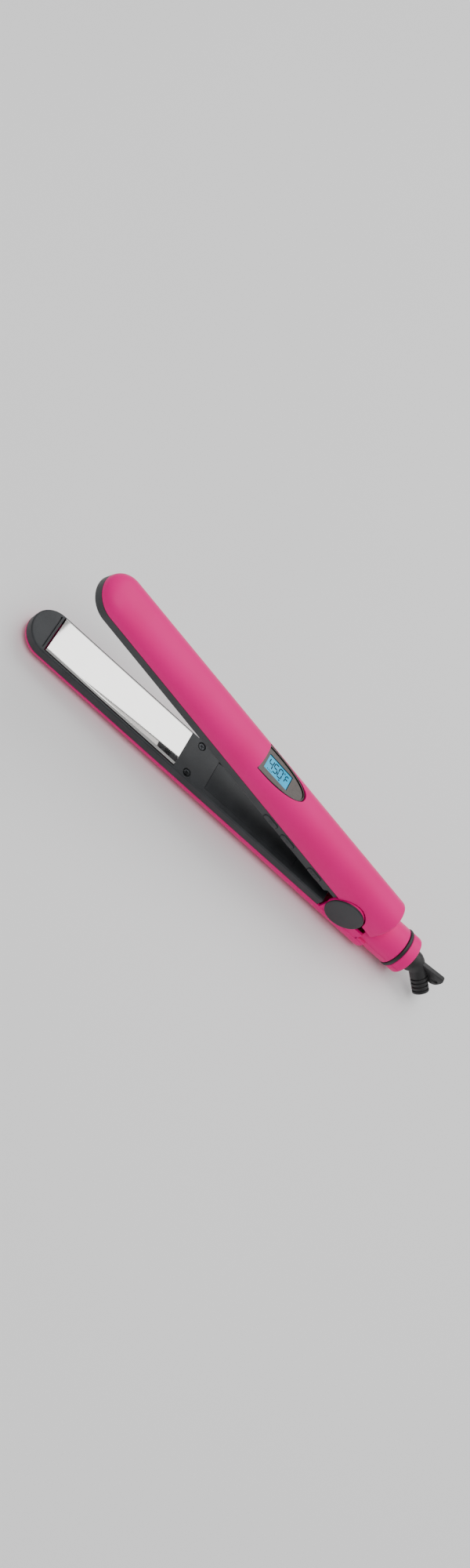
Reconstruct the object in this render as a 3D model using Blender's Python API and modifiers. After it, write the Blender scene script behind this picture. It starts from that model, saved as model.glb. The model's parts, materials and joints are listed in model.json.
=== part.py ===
"""Flat iron: two hinged arms with floating hot plates, a display, three buttons and a cord swivel.

Each arm has its own frame: +Z away from the lower arm, the tip at -X and the hinge axis on Y at the
origin. A piece that both arms have is drawn once, with H as its height outwards from the mating
plane of the plates, and is then mirrored to the arm that it belongs to.
"""
import math

import bmesh
import bpy
from mathutils import Matrix, Vector

# Driving dimensions, in metres ------------------------------------------------------------------
OPENING = math.radians(12.8)        # angle between the arms at rest
PIVOT_X = 0.0830                    # hinge axis, from the middle of the object's length
MATING_Z = -0.00293                 # plane where the two plates meet, below the hinge axis

ARM_HALF = 0.01432                  # half the width of an arm
TIP_X = -0.2465
HINGE_X = -0.020
SECTION_POWER = 2.3                 # fullness of the shells' cross-section, 2 is an ellipse
SHELL_WALL = 0.0014
FACE_H = 0.00159                    # inner face of a housing
SEAM_H = 0.00769                    # seam between a housing and its outer shell
HOUSING_WALL = 0.0015
GAP = 0.0003                        # clearance between touching pieces

LOWER_DEPTH = (0.0060, 0.0115)      # depth of the shell past the seam, at the tip and at the hinge
UPPER_DEPTH = (0.0085, 0.0170)
LOWER_REAR_X = 0.026
UPPER_REAR_X = 0.0228
REAR_FILLET = 0.003
FLAT_DEPTH = 0.0005                 # how far the flat underside cuts into the lower shell

PLATE_HALF = 0.0127
PLATE_X = (-0.2312, -0.1343)
PLATE_H = (0.00015, 0.00175)
PLATE_TRAVEL = 0.0008
SCREW_X, SCREW_Y = -0.12494, 0.01045
SCREW_HEAD_RADIUS, SCREW_NECK_RADIUS, SHANK_RADIUS = 0.0019, 0.0010, 0.00095
SCREW_END_H = 0.0105
BOSS_RADIUS, BOSS_BORE, BOSS_BORE_END_H = 0.0028, 0.00135, 0.0112
STEP_X, STEP_H = -0.0204, 0.0047    # step in the upper housing's edge, in front of the hinge
PANEL_X, PANEL_HALF = (-0.1112, -0.0410), 0.0103

PIN_RADIUS = 0.0020
BARREL_RADIUS = 0.0055
CHEEK_RADIUS = 0.0121
CHEEK_Y = (0.0124, 0.0143)
CAP_RADIUS = 0.01225
CAP_Y = (0.0146, 0.0156)
NOTCH_RADIUS = 0.0130

BUTTON_X = {"plus": -0.0777, "minus": -0.0612, "power": -0.0337}
BUTTON_H = 0.0042
BUTTON_SIZE = (0.0110, 0.0040)
BUTTON_Y = (-0.0147, -0.0118)

DISPLAY_X = (-0.1128, -0.0768)
DISPLAY_HALF = 0.0096
DISPLAY_Z = 0.0167                  # outer face of the bezel, in the upper arm's frame
DISPLAY_TILT = math.radians(-5.0)
LCD_X, LCD_HALF = (-0.1090, -0.0898), 0.0046
LCD_DEPTH = (-0.0019, -0.0004)      # back and front of the lit panel, from the bezel's outer face
BEZEL_DEPTH = 0.0016

NECK_Z = -0.0085
NECK_RADIUS = 0.01275
NECK_WALL = 0.0020
NECK_X = (0.0190, 0.0535)
RING_X = (0.0436, 0.0460)
CORD_HOLE = 0.0074
STUB_RADIUS = 0.0070
RELIEF_RADIUS = 0.0052
RELIEF_BEND = math.radians(36.0)
RELIEF_ROLL = math.radians(45.0)    # how far the elbow is turned from straight down to the near side

SPRING_X, SPRING_RADIUS = -0.0095, 0.0024
SPRING_Z = (-0.0135, 0.0019)        # its seat and its free end, which the upper arm presses
SPRING_WIRE, SPRING_TURNS = 0.00035, 5
CONTACT_X = (0.0350, 0.0390)
SPINDLE_BORE, SPINDLE_RADIUS, FLANGE_RADIUS = 0.0012, 0.0034, 0.0092
SPINDLE_X, FLANGE_X = 0.0330, (0.0462, 0.0500)
RELIEF_STRAIGHT, RELIEF_SWEEP = 0.0040, 0.0110
RIB_START, RIB_PITCH, RIB_COUNT, RIB_GROOVE = 0.0040, 0.0025, 4, 0.0008
CORD_BORE, CORD_BORE_DEPTH = 0.0031, 0.008
LOOP_THICKNESS = 0.0030
LOOP_SLOT = (0.0060, 0.0026)
LOOP_SLOT_AT = (0.0222, 0.0014)     # from the collar's end and the neck's axis
LOOP_OUTLINE = ((0.0075, -0.0020), (0.0215, -0.0034), (0.0245, -0.0030), (0.0262, -0.0012),
                (0.0266, 0.0010), (0.0262, 0.0060), (0.0244, 0.0072), (0.0070, 0.0052),
                (0.0040, 0.0040))

# The lower shell tapers in depth, so the arm is tilted to lie level on its flat underside.
LEVEL = math.atan2(LOWER_DEPTH[1] - LOWER_DEPTH[0], HINGE_X - TIP_X)
DEPTH_AT_HINGE = LOWER_DEPTH[1] - HINGE_X * math.tan(LEVEL)
PIVOT_Z = (SEAM_H - MATING_Z + DEPTH_AT_HINGE - FLAT_DEPTH) * math.cos(LEVEL)

PINK = (0.72, 0.021, 0.21)
BLACK = (0.035, 0.037, 0.042)
RUBBER = (0.020, 0.020, 0.022)
STEEL = (0.55, 0.55, 0.56)
TITANIUM = (0.80, 0.79, 0.77)
CERAMIC = (0.82, 0.80, 0.74)
SILICONE = (0.35, 0.12, 0.08)
GLASS = (0.12, 0.55, 0.75)
BOARD = (0.03, 0.20, 0.09)
BRASS = (0.70, 0.50, 0.20)


# Scene ------------------------------------------------------------------------------------------
def clear_scene():
    """Remove every object, so that the model is the only thing in the file."""
    for item in list(bpy.data.objects):
        bpy.data.objects.remove(item, do_unlink=True)


def new_collection(name):
    """Make a collection in the scene."""
    group = bpy.data.collections.new(name)
    bpy.context.scene.collection.children.link(group)
    return group


def new_axes(name, group, angle):
    """Make an empty on the hinge axis, turned about Y, that an arm's pieces are parented to."""
    axes = bpy.data.objects.new(name, None)
    axes.location = (PIVOT_X, 0.0, PIVOT_Z)
    axes.rotation_euler = (0.0, angle, 0.0)
    group.objects.link(axes)
    return axes


def finish(name, colour, roughness, metallic=0.0):
    """Make a plain material."""
    material = bpy.data.materials.new(name)
    material.use_nodes = True
    shader = material.node_tree.nodes["Principled BSDF"]
    shader.inputs["Base Color"].default_value = (*colour, 1.0)
    shader.inputs["Roughness"].default_value = roughness
    shader.inputs["Metallic"].default_value = metallic
    return material


clear_scene()
PARTS = new_collection("flat_iron")
CUTTERS = new_collection("cutters")
LOWER = new_axes("lower_arm_axes", PARTS, -LEVEL)
UPPER = new_axes("upper_arm_axes", PARTS, OPENING - LEVEL)


# Mesh helpers -----------------------------------------------------------------------------------
def add_object(name, bm, axes, group):
    """Turn a bmesh into an object in an arm's frame."""
    mesh = bpy.data.meshes.new(name)
    bm.to_mesh(mesh)
    bm.free()
    item = bpy.data.objects.new(name, mesh)
    item.parent = axes
    group.objects.link(item)
    return item


def add_part(name, bm, axes, look, sharp_deg=35.0):
    """Make a sub-part with its own material, shaded smooth between its sharp edges."""
    item = add_object(name, bm, axes, PARTS)
    item.data.materials.append(finish(name, *look))
    item.data.shade_smooth()
    item.data.set_sharp_from_angle(angle=math.radians(sharp_deg))
    return item


def shape(item, bm, axes, operation):
    """Cut a sub-part with a tool shape, or join the tool shape to it."""
    tool = add_object(item.name + "_tool", bm, axes, CUTTERS)
    tool.hide_render = True
    tool.display_type = "WIRE"
    modifier = item.modifiers.new(operation.lower(), "BOOLEAN")
    modifier.operation = operation
    modifier.object = tool
    return item


def box(low, high):
    """Make a box between two corners."""
    bm = bmesh.new()
    low, high = Vector(low), Vector(high)
    size = Matrix.Diagonal((*(high - low), 1.0))
    bmesh.ops.create_cube(bm, size=1.0, matrix=Matrix.Translation((low + high) / 2) @ size)
    return bm


def rod(start, end, radius, segments=24, end_radius=None):
    """Make a cylinder or a cone between two points."""
    bm = bmesh.new()
    start, end = Vector(start), Vector(end)
    along = end - start
    turn = along.to_track_quat("Z", "Y").to_matrix().to_4x4()
    bmesh.ops.create_cone(bm, cap_ends=True, segments=segments, radius1=radius,
                          radius2=radius if end_radius is None else end_radius, depth=along.length,
                          matrix=Matrix.Translation((start + end) / 2) @ turn)
    return bm


def prism(outline, depth, place):
    """Extrude a flat outline, given in a plane's own X and Y, and put it in place."""
    bm = bmesh.new()
    face = bm.faces.new([bm.verts.new((x, y, 0.0)) for x, y in outline])
    raised = bmesh.ops.extrude_face_region(bm, geom=[face])["geom"]
    bmesh.ops.translate(bm, vec=(0.0, 0.0, depth),
                        verts=[part for part in raised if isinstance(part, bmesh.types.BMVert)])
    bmesh.ops.transform(bm, matrix=place, verts=bm.verts)
    bmesh.ops.recalc_face_normals(bm, faces=bm.faces)
    return bm


def lathe(name, profile, axes, look, segments=32):
    """Turn a closed profile of (X, radius) points about the neck's axis."""
    bm = bmesh.new()
    corners = [bm.verts.new((x, radius, 0.0)) for x, radius in profile]
    for corner, following in zip(corners, corners[1:] + corners[:1]):
        bm.edges.new((corner, following))
    item = add_part(name, bm, axes, look)
    item.location = (0.0, 0.0, NECK_Z)
    screw = item.modifiers.new("turn", "SCREW")
    screw.axis = "X"
    screw.steps = screw.render_steps = segments
    screw.use_merge_vertices = True
    screw.merge_threshold = 0.00001
    screw.use_normal_calculate = True
    screw.use_normal_flip = True
    return item


def outward(bm, side):
    """Take a piece drawn in X, Y and H to the lower (-1) or the upper (1) arm."""
    bmesh.ops.scale(bm, vec=(1.0, 1.0, side), verts=bm.verts)
    bmesh.ops.translate(bm, vec=(0.0, 0.0, MATING_Z), verts=bm.verts)
    if side < 0:
        bmesh.ops.reverse_faces(bm, faces=bm.faces)
    return bm


def stadium(length, width, steps=8):
    """Outline of a slot with round ends, centred on zero, lengthwise along X."""
    radius = width / 2
    middle = length / 2 - radius
    turns = [math.pi * step / steps - math.pi / 2 for step in range(steps + 1)]
    right = [(middle + radius * math.cos(a), radius * math.sin(a)) for a in turns]
    return right + [(-x, -y) for x, y in right]


def arm_outline(half, tip_x, rear_x, steps=16):
    """Outline of an arm seen from above: a round tip and a straight rear end."""
    turns = [math.pi * step / steps + math.pi / 2 for step in range(steps + 1)]
    nose = [(tip_x + half + half * math.cos(a), half * math.sin(a)) for a in turns]
    return nose + [(rear_x, -half), (rear_x, half)]


# Pieces that both arms have ---------------------------------------------------------------------
def shell_depth(x, depths):
    """Depth of an outer shell past the seam at a station along the arm."""
    tip, hinge = depths
    return tip + (hinge - tip) * (x - TIP_X) / (HINGE_X - TIP_X)


def section(half, depth, steps=18):
    """Half of a full ellipse from one side of the arm over the crown to the other, as (Y, H)."""
    points = []
    for step in range(steps + 1):
        angle = math.pi * step / steps
        across, rise = math.cos(angle), math.sin(angle)
        y = half * math.copysign(abs(across) ** (2 / SECTION_POWER), across)
        points.append((y, depth * max(rise, 0.0) ** (2 / SECTION_POWER)))
    return points


def shell_stations(rear_x, fillet):
    """Stations along a shell: (X, width factor, depth factor), closing to a point at both ends."""
    nose = []
    for step in range(8):
        angle = math.radians(90.0 - 90.0 * step / 8)
        nose.append((TIP_X + ARM_HALF * (1 - math.sin(angle)), math.cos(angle), math.cos(angle) ** 0.8))
    straight = [(TIP_X + ARM_HALF + (rear_x - fillet - TIP_X - ARM_HALF) * part / 7, 1.0, 1.0)
                for part in range(8)]
    tail = []
    for step in range(1, 5):
        angle = math.radians(90.0 * step / 4)
        shrink = 1 - fillet * (1 - math.cos(angle)) / ARM_HALF
        tail.append((rear_x - fillet * (1 - math.sin(angle)), shrink, shrink))
    return nose + straight + tail + [(rear_x, 0.0, 0.0)]


def outer_shell(name, side, axes, depths, rear_x, flat):
    """Skin of an arm: an open dome over the seam plane, given its wall by Solidify."""
    bm = bmesh.new()
    rows = []
    for x, wide, deep in shell_stations(rear_x, REAR_FILLET):
        depth = shell_depth(x, depths)
        if wide < 0.001:
            rows.append([bm.verts.new((x, 0.0, SEAM_H))])
            continue
        rows.append([bm.verts.new((x, y, SEAM_H + min(h, depth - flat)))
                     for y, h in section(ARM_HALF * wide, depth * deep)])
    for row, following in zip(rows, rows[1:]):
        if len(row) == 1:
            row = row * len(following)
        if len(following) == 1:
            following = following * len(row)
        for a, b, c, d in zip(row, row[1:], following[1:], following):
            corners = list(dict.fromkeys((a, b, c, d)))
            bm.faces.new(corners)
    bmesh.ops.recalc_face_normals(bm, faces=bm.faces)
    if sum(face.normal.z * face.calc_area() for face in bm.faces) < 0:
        bmesh.ops.reverse_faces(bm, faces=bm.faces)
    item = add_part(name, outward(bm, side), axes, (PINK, 0.35))
    wall = item.modifiers.new("wall", "SOLIDIFY")
    wall.thickness = SHELL_WALL
    wall.offset = -1.0
    return item


def inner_housing(name, side, axes, rear_x):
    """Black tray under the shell, with a window for the plate and two screw holes."""
    lift = Matrix.Translation((0.0, 0.0, FACE_H))
    wall_end = SEAM_H - GAP
    item = add_part(name, outward(prism(arm_outline(ARM_HALF, TIP_X, rear_x), wall_end - FACE_H, lift),
                                  side), axes, (BLACK, 0.55))
    inside = ARM_HALF - HOUSING_WALL
    hollow = arm_outline(inside, TIP_X + HOUSING_WALL, rear_x - HOUSING_WALL)
    floor = Matrix.Translation((0.0, 0.0, FACE_H + HOUSING_WALL))
    shape(item, outward(prism(hollow, 0.02, floor), side), axes, "DIFFERENCE")
    room = 0.0004
    shape(item, outward(box((PLATE_X[0] - room, -PLATE_HALF - GAP / 2, 0.0),
                            (PLATE_X[1] + room, PLATE_HALF + GAP / 2, 0.02)), side), axes, "DIFFERENCE")
    seat_h = 0.0026
    for y in (-SCREW_Y, SCREW_Y):
        shape(item, outward(rod((SCREW_X, y, 0.0), (SCREW_X, y, seat_h), SCREW_HEAD_RADIUS + 0.0004, 20),
                            side), axes, "DIFFERENCE")
        shape(item, outward(rod((SCREW_X, y, 0.0020), (SCREW_X, y, 0.0050), 0.0014, 20), side), axes,
              "DIFFERENCE")
    bar = box((PLATE_X[0] - 0.0024, -0.0122, FACE_H - 0.0005), (PLATE_X[0] - 0.0012, 0.0122, 0.0025))
    shape(item, outward(bar, side), axes, "UNION")
    return item


def screws(prefix, side, axes):
    """Two countersunk screws that hold the housing to the bosses of the shell."""
    for label, y in (("near", -SCREW_Y), ("far", SCREW_Y)):
        head = rod((SCREW_X, y, 0.00185), (SCREW_X, y, 0.00245), SCREW_HEAD_RADIUS, 20, SCREW_NECK_RADIUS)
        item = add_part(f"{prefix}_screw_{label}", outward(head, side), axes, (STEEL, 0.35, 1.0))
        shank = rod((SCREW_X, y, 0.00230), (SCREW_X, y, SCREW_END_H), SHANK_RADIUS, 20)
        shape(item, outward(shank, side), axes, "UNION")
        recess = box((SCREW_X - 0.0010, y - 0.0003, 0.0010), (SCREW_X + 0.0010, y + 0.0003, 0.0023))
        shape(item, outward(recess, side), axes, "DIFFERENCE")


def screw_bosses(item, side, axes, depths):
    """Bosses inside the shell that take the housing's screws."""
    top = SEAM_H + 0.6 * shell_depth(SCREW_X, depths)
    for y in (-SCREW_Y, SCREW_Y):
        inwards = math.copysign(0.0008, -y)
        shape(item, outward(rod((SCREW_X, y + inwards, SEAM_H + 0.0006), (SCREW_X, y + inwards, top),
                                BOSS_RADIUS, 20), side), axes, "UNION")
        shape(item, outward(rod((SCREW_X, y, 0.0), (SCREW_X, y, BOSS_BORE_END_H), BOSS_BORE, 20), side),
              axes, "DIFFERENCE")


def plate_set(prefix, side, axes):
    """Hot plate with its ceramic heater, the spring clip behind it and its sensor."""
    low, high = PLATE_H
    edge = 0.0008
    profile = [(-PLATE_HALF, low + edge), (-PLATE_HALF + edge, low), (PLATE_HALF - edge, low),
               (PLATE_HALF, low + edge), (PLATE_HALF, high), (-PLATE_HALF, high)]
    across = Matrix(((0, 0, 1, PLATE_X[0]), (1, 0, 0, 0), (0, 1, 0, 0), (0, 0, 0, 1)))
    length = PLATE_X[1] - PLATE_X[0]
    add_part(f"{prefix}_plate", outward(prism(profile, length, across), side), axes, (TITANIUM, 0.08, 1.0))
    first, last = PLATE_X[0] + 0.016, PLATE_X[1] - 0.016
    heater = box((first, -0.006, high + GAP), (last, 0.006, 0.0040))
    add_part(f"{prefix}_heater", outward(heater, side), axes, (CERAMIC, 0.7))
    inner, outer = 0.0066, 0.0072
    clip = [(-outer - 0.003, high + GAP), (-inner, high + GAP), (-inner, 0.0043), (inner, 0.0043),
            (inner, high + GAP), (outer + 0.003, high + GAP), (outer + 0.003, 0.0026),
            (outer, 0.0026), (outer, 0.0049), (-outer, 0.0049), (-outer, 0.0026), (-outer - 0.003, 0.0026)]
    across[0][3] = first - 0.004
    add_part(f"{prefix}_heater_clip", outward(prism(clip, last - first + 0.008, across), side), axes,
             (STEEL, 0.4, 1.0))


def cushions(prefix, side, axes):
    """Silicone blocks that spring the plate from behind."""
    for label, x in (("tip", PLATE_X[0] + 0.013), ("rear", PLATE_X[1] - 0.013)):
        block = box((x - 0.004, -0.004, 0.0049 + PLATE_TRAVEL + GAP), (x + 0.004, 0.004, 0.0108))
        add_part(f"{prefix}_cushion_{label}", outward(block, side), axes, (SILICONE, 0.8))


# Lower arm --------------------------------------------------------------------------------------
def neck_rod(start, end, radius, segments=40):
    """A cylinder on the neck's axis."""
    return rod((start, 0.0, NECK_Z), (end, 0.0, NECK_Z), radius, segments)


def band(start, end, inner, outer, segments=40):
    """A flat ring about the neck's axis."""
    bm = bmesh.new()
    profile = [(start, inner), (end, inner), (end, outer), (start, outer)]
    loop = [bm.verts.new((x, 0.0, NECK_Z + radius)) for x, radius in profile]
    edges = [bm.edges.new(pair) for pair in zip(loop, loop[1:] + loop[:1])]
    bmesh.ops.spin(bm, geom=loop + edges, cent=(0.0, 0.0, NECK_Z), axis=(1.0, 0.0, 0.0),
                   angle=2 * math.pi, steps=segments, use_merge=True)
    bmesh.ops.recalc_face_normals(bm, faces=bm.faces)
    return bm


def half_neck(side, start):
    """Upper (1) or lower (-1) half of the solid neck, with a rounded rear edge."""
    bm = neck_rod(start, NECK_X[1], NECK_RADIUS)
    rear = [edge for edge in bm.edges if all(v.co.x > NECK_X[1] - 0.0001 for v in edge.verts)]
    bmesh.ops.bevel(bm, geom=rear, offset=0.0014, segments=3, profile=0.5, affect="EDGES", material=-1)
    middle = (0.0, 0.0, NECK_Z + side * GAP / 2)
    cut = bmesh.ops.bisect_plane(bm, geom=bm.verts[:] + bm.edges[:] + bm.faces[:], plane_co=middle,
                                 plane_no=(0.0, 0.0, side), clear_inner=True)
    rim = [part for part in cut["geom_cut"] if isinstance(part, bmesh.types.BMEdge)]
    bmesh.ops.contextual_create(bm, geom=rim)
    bmesh.ops.recalc_face_normals(bm, faces=bm.faces)
    return bm


def hollow_neck(item):
    """Hollow the neck, groove it for its ring and open its end for the swivel."""
    inside = NECK_RADIUS - NECK_WALL
    shape(item, neck_rod(0.0, NECK_X[1] - 0.0017, inside), LOWER, "DIFFERENCE")
    shape(item, neck_rod(NECK_X[1] - 0.003, NECK_X[1] + 0.003, CORD_HOLE), LOWER, "DIFFERENCE")
    groove = band(RING_X[0] - 0.0002, RING_X[1] + 0.0002, NECK_RADIUS - 0.0010, NECK_RADIUS + 0.003)
    shape(item, groove, LOWER, "DIFFERENCE")


def lower_shell():
    """Pink underside with the hinge cheeks and the lower half of the neck."""
    item = outer_shell("lower_outer_shell", -1, LOWER, LOWER_DEPTH, LOWER_REAR_X, FLAT_DEPTH)
    screw_bosses(item, -1, LOWER, LOWER_DEPTH)
    seat = rod((SPRING_X, 0.0, -0.0205), (SPRING_X, 0.0, SPRING_Z[0] - GAP), 0.0042, 24)
    shape(item, seat, LOWER, "UNION")
    shape(item, half_neck(-1, NECK_X[0]), LOWER, "UNION")
    hollow_neck(item)
    for side in (-1, 1):
        inner, outer = (side * y for y in CHEEK_Y)
        shape(item, rod((0.0, inner, 0.0), (0.0, outer, 0.0), CHEEK_RADIUS, 40), LOWER, "UNION")
        low, high = sorted((inner + side * 0.0001, outer - side * 0.0001))
        shape(item, box((-0.0115, low, -0.0125), (NECK_X[0] - GAP, high, -0.0045)), LOWER, "UNION")
        shape(item, rod((0.0, side * 0.010, 0.0), (0.0, side * 0.017, 0.0), PIN_RADIUS + 0.00012, 24),
              LOWER, "DIFFERENCE")


def neck_cover():
    """Pink upper half of the neck, which runs in under the upper shell."""
    item = add_part("neck_upper_cover", half_neck(1, NECK_X[0]), LOWER, (PINK, 0.35))
    hollow_neck(item)


def hinge():
    """Pin through the cheeks, its two caps and the spring that opens the arms."""
    add_part("hinge_pin", rod((0.0, -0.0140, 0.0), (0.0, 0.0140, 0.0), PIN_RADIUS), LOWER,
             (STEEL, 0.3, 1.0))
    for label, side in (("near", -1), ("far", 1)):
        bm = rod((0.0, side * CAP_Y[0], 0.0), (0.0, side * CAP_Y[1], 0.0), CAP_RADIUS, 48)
        outer = [edge for edge in bm.edges
                 if all(abs(v.co.y) > CAP_Y[1] - 0.0001 for v in edge.verts)]
        bmesh.ops.bevel(bm, geom=outer, offset=0.0004, segments=2, profile=0.5, affect="EDGES",
                        material=-1)
        add_part(f"hinge_cap_{label}", bm, LOWER, (BLACK, 0.4))
    add_spring()


def add_spring():
    """Compression spring between its seat in the lower shell and the upper arm's knuckle."""
    curve = bpy.data.curves.new("hinge_spring", "CURVE")
    curve.dimensions = "3D"
    curve.bevel_depth = SPRING_WIRE
    curve.bevel_resolution = 1
    curve.use_fill_caps = True
    per_turn = 12
    line = curve.splines.new("POLY")
    line.points.add(SPRING_TURNS * per_turn)
    low, high = SPRING_Z[0] + SPRING_WIRE, SPRING_Z[1] - SPRING_WIRE
    for index, point in enumerate(line.points):
        angle = 2 * math.pi * index / per_turn
        rise = low + (high - low) * index / (SPRING_TURNS * per_turn)
        point.co = (SPRING_X + SPRING_RADIUS * math.cos(angle), SPRING_RADIUS * math.sin(angle), rise, 1.0)
    item = bpy.data.objects.new("hinge_spring", curve)
    item.parent = LOWER
    item.data.materials.append(finish("hinge_spring", STEEL, 0.3, 1.0))
    PARTS.objects.link(item)


def lower_electronics():
    """Supply board in the handle, its parts and the brushes that feed it from the swivel."""
    add_part("power_board", box((-0.100, -0.0085, -0.0142), (-0.030, 0.0085, -0.0130)), LOWER,
             (BOARD, 0.5))
    can = rod((-0.090, 0.0, -0.00965), (-0.078, 0.0, -0.00965), 0.0030, 24)
    add_part("film_capacitor", can, LOWER, (BRASS, 0.5))
    add_part("triac", box((-0.060, -0.0045, -0.0127), (-0.050, 0.0045, -0.0088)), LOWER, (BLACK, 0.5))
    carrier = box((0.0330, -0.0055, NECK_Z - 0.0086), (0.0415, 0.0055, NECK_Z - 0.0064))
    add_part("brush_carrier", carrier, LOWER, (CERAMIC, 0.6))
    for label, x in (("live", CONTACT_X[0]), ("neutral", CONTACT_X[1])):
        brush = box((x - 0.0006, -0.0020, NECK_Z - 0.0061), (x + 0.0006, 0.0020, NECK_Z - 0.0049))
        add_part(f"{label}_brush", brush, LOWER, (BRASS, 0.3, 1.0))


def lower_arm():
    """Everything fixed to the lower arm."""
    lower_shell()
    neck_cover()
    housing = inner_housing("lower_inner_housing", -1, LOWER, -0.0135)
    start, end = PANEL_X
    pocket = box((start - GAP / 2, -PANEL_HALF - GAP / 2, 0.0), (end + GAP / 2, PANEL_HALF + GAP / 2,
                 FACE_H + 0.0009))
    shape(housing, outward(pocket, -1), LOWER, "DIFFERENCE")
    inlay = box((start + GAP, -PANEL_HALF + GAP, FACE_H), (end - GAP, PANEL_HALF - GAP, FACE_H + 0.0006))
    add_part("inner_panel", outward(inlay, -1), LOWER, (BLACK, 0.5))
    screws("lower", -1, LOWER)
    cushions("lower", -1, LOWER)
    plate_set("lower", -1, LOWER)
    fuse = rod((PLATE_X[1] - 0.0085, 0.0, 0.0032), (PLATE_X[1] - 0.0030, 0.0, 0.0032), 0.0011, 16)
    add_part("thermal_fuse", outward(fuse, -1), LOWER, (CERAMIC, 0.5))
    ring = band(RING_X[0], RING_X[1], NECK_RADIUS - 0.0007, NECK_RADIUS + 0.0006)
    add_part("neck_ring", ring, LOWER, (RUBBER, 0.5))
    hinge()
    lower_electronics()


# Upper arm --------------------------------------------------------------------------------------
def shield(inset, steps=16):
    """Outline of the display: a straight front edge and full sides that run to a round end."""
    start, end = DISPLAY_X[0] + inset, DISPLAY_X[1] - inset
    half = DISPLAY_HALF - inset
    power = 2 / SECTION_POWER
    points = []
    for step in range(steps + 1):
        angle = math.pi * (step / steps - 0.5)
        along = start + (end - start) * max(math.cos(angle), 0.0) ** power
        points.append((along, half * math.copysign(abs(math.sin(angle)) ** power, angle)))
    return points


def display_plane(height):
    """Place of the display's plane, at a height from the bezel's outer face."""
    centre = Vector((sum(DISPLAY_X) / 2, 0.0, DISPLAY_Z))
    tilt = Matrix.Translation(centre) @ Matrix.Rotation(DISPLAY_TILT, 4, "Y")
    return tilt @ Matrix.Translation((-centre.x, 0.0, height))


def upper_shell():
    """Pink top with a window for the display and notches round the hinge caps."""
    item = outer_shell("upper_outer_shell", 1, UPPER, UPPER_DEPTH, UPPER_REAR_X, 0.0)
    screw_bosses(item, 1, UPPER, UPPER_DEPTH)
    shape(item, prism(shield(0.0), 0.012, display_plane(-0.006)), UPPER, "DIFFERENCE")
    shape(item, rod((0.0, -0.02, 0.0), (0.0, 0.02, 0.0), NOTCH_RADIUS, 48), UPPER, "DIFFERENCE")
    neck = neck_rod(0.012, 0.06, NECK_RADIUS + 0.0006)
    bmesh.ops.transform(neck, matrix=Matrix.Rotation(-OPENING, 4, "Y"), verts=neck.verts)
    shape(item, neck, UPPER, "DIFFERENCE")


def lcd_outline(grow):
    """Outline of the lit panel, grown by a margin."""
    return [(LCD_X[0] - grow, -LCD_HALF - grow), (LCD_X[1] + grow, -LCD_HALF - grow),
            (LCD_X[1] + grow, LCD_HALF + grow), (LCD_X[0] - grow, LCD_HALF + grow)]


def display():
    """Bezel with its window, the lit panel in the window, and the backlight under it."""
    bezel = add_part("display_bezel", prism(shield(GAP), BEZEL_DEPTH, display_plane(-BEZEL_DEPTH)), UPPER,
                     (STEEL, 0.35, 1.0))
    shape(bezel, prism(lcd_outline(GAP), 0.008, display_plane(-0.004)), UPPER, "DIFFERENCE")
    back, front = LCD_DEPTH
    add_part("lcd_screen", prism(lcd_outline(0.0), front - back, display_plane(back)), UPPER,
             (GLASS, 0.15))
    add_part("lcd_backlight", prism(lcd_outline(0.0008), 0.0008, display_plane(back - 0.0011)), UPPER,
             (CERAMIC, 0.5))


def buttons(housing):
    """Three oval buttons in the housing's near side, with the switches behind them."""
    length, height = BUTTON_SIZE
    clear = 0.0006
    for name, x in BUTTON_X.items():
        place = Matrix.Translation((x, BUTTON_Y[0], BUTTON_H)) @ Matrix.Rotation(-math.pi / 2, 4, "X")
        outline = [(a, -b) for a, b in stadium(length, height)]
        button = prism(outline, BUTTON_Y[1] - BUTTON_Y[0], place)
        crown = [edge for edge in button.edges
                 if all(v.co.y < BUTTON_Y[0] + 0.00001 for v in edge.verts)]
        bmesh.ops.bevel(button, geom=crown, offset=0.0004, segments=2, profile=0.5, affect="EDGES",
                        material=-1)
        add_part(f"button_{name}", outward(button, 1), UPPER, (BLACK, 0.45))
        hole = prism([(a, -b) for a, b in stadium(length + clear, height + clear)], 0.0045,
                     Matrix.Translation((0.0, -0.0005, 0.0)) @ place)
        shape(housing, outward(hole, 1), UPPER, "DIFFERENCE")
        switch = box((x - 0.003, BUTTON_Y[1] + 0.0009, BUTTON_H - 0.0008),
                     (x + 0.003, BUTTON_Y[1] + 0.0045, BUTTON_H + 0.0026))
        add_part(f"tact_switch_{name}", outward(switch, 1), UPPER, (BLACK, 0.5))


def step_edge(housing, rear_x):
    """Raise the housing's edge in front of the hinge, and close the step."""
    wall, half = 0.0015, ARM_HALF - HOUSING_WALL / 2
    shape(housing, outward(box((STEP_X, -0.02, 0.0), (rear_x + 0.001, 0.02, STEP_H)), 1), UPPER,
          "DIFFERENCE")
    riser = box((STEP_X - wall, -half, FACE_H + 0.0007), (STEP_X + 0.0001, half, STEP_H + 0.0012))
    shape(housing, outward(riser, 1), UPPER, "UNION")
    ceiling = box((STEP_X - wall / 2, -half, STEP_H), (rear_x - 0.0008, half, STEP_H + 0.0011))
    shape(housing, outward(ceiling, 1), UPPER, "UNION")


def knuckle(housing):
    """Barrel round the hinge pin, with the arm that joins it to the housing."""
    arm = box((-0.0165, -0.0070, 0.0002), (0.0, 0.0070, 0.0042))
    shape(housing, arm, UPPER, "UNION")
    barrel = rod((0.0, -0.0118, 0.0), (0.0, 0.0118, 0.0), BARREL_RADIUS, 32)
    shape(housing, barrel, UPPER, "UNION")
    shape(housing, rod((0.0, -0.02, 0.0), (0.0, 0.02, 0.0), PIN_RADIUS + 0.0001, 24), UPPER, "DIFFERENCE")


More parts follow.
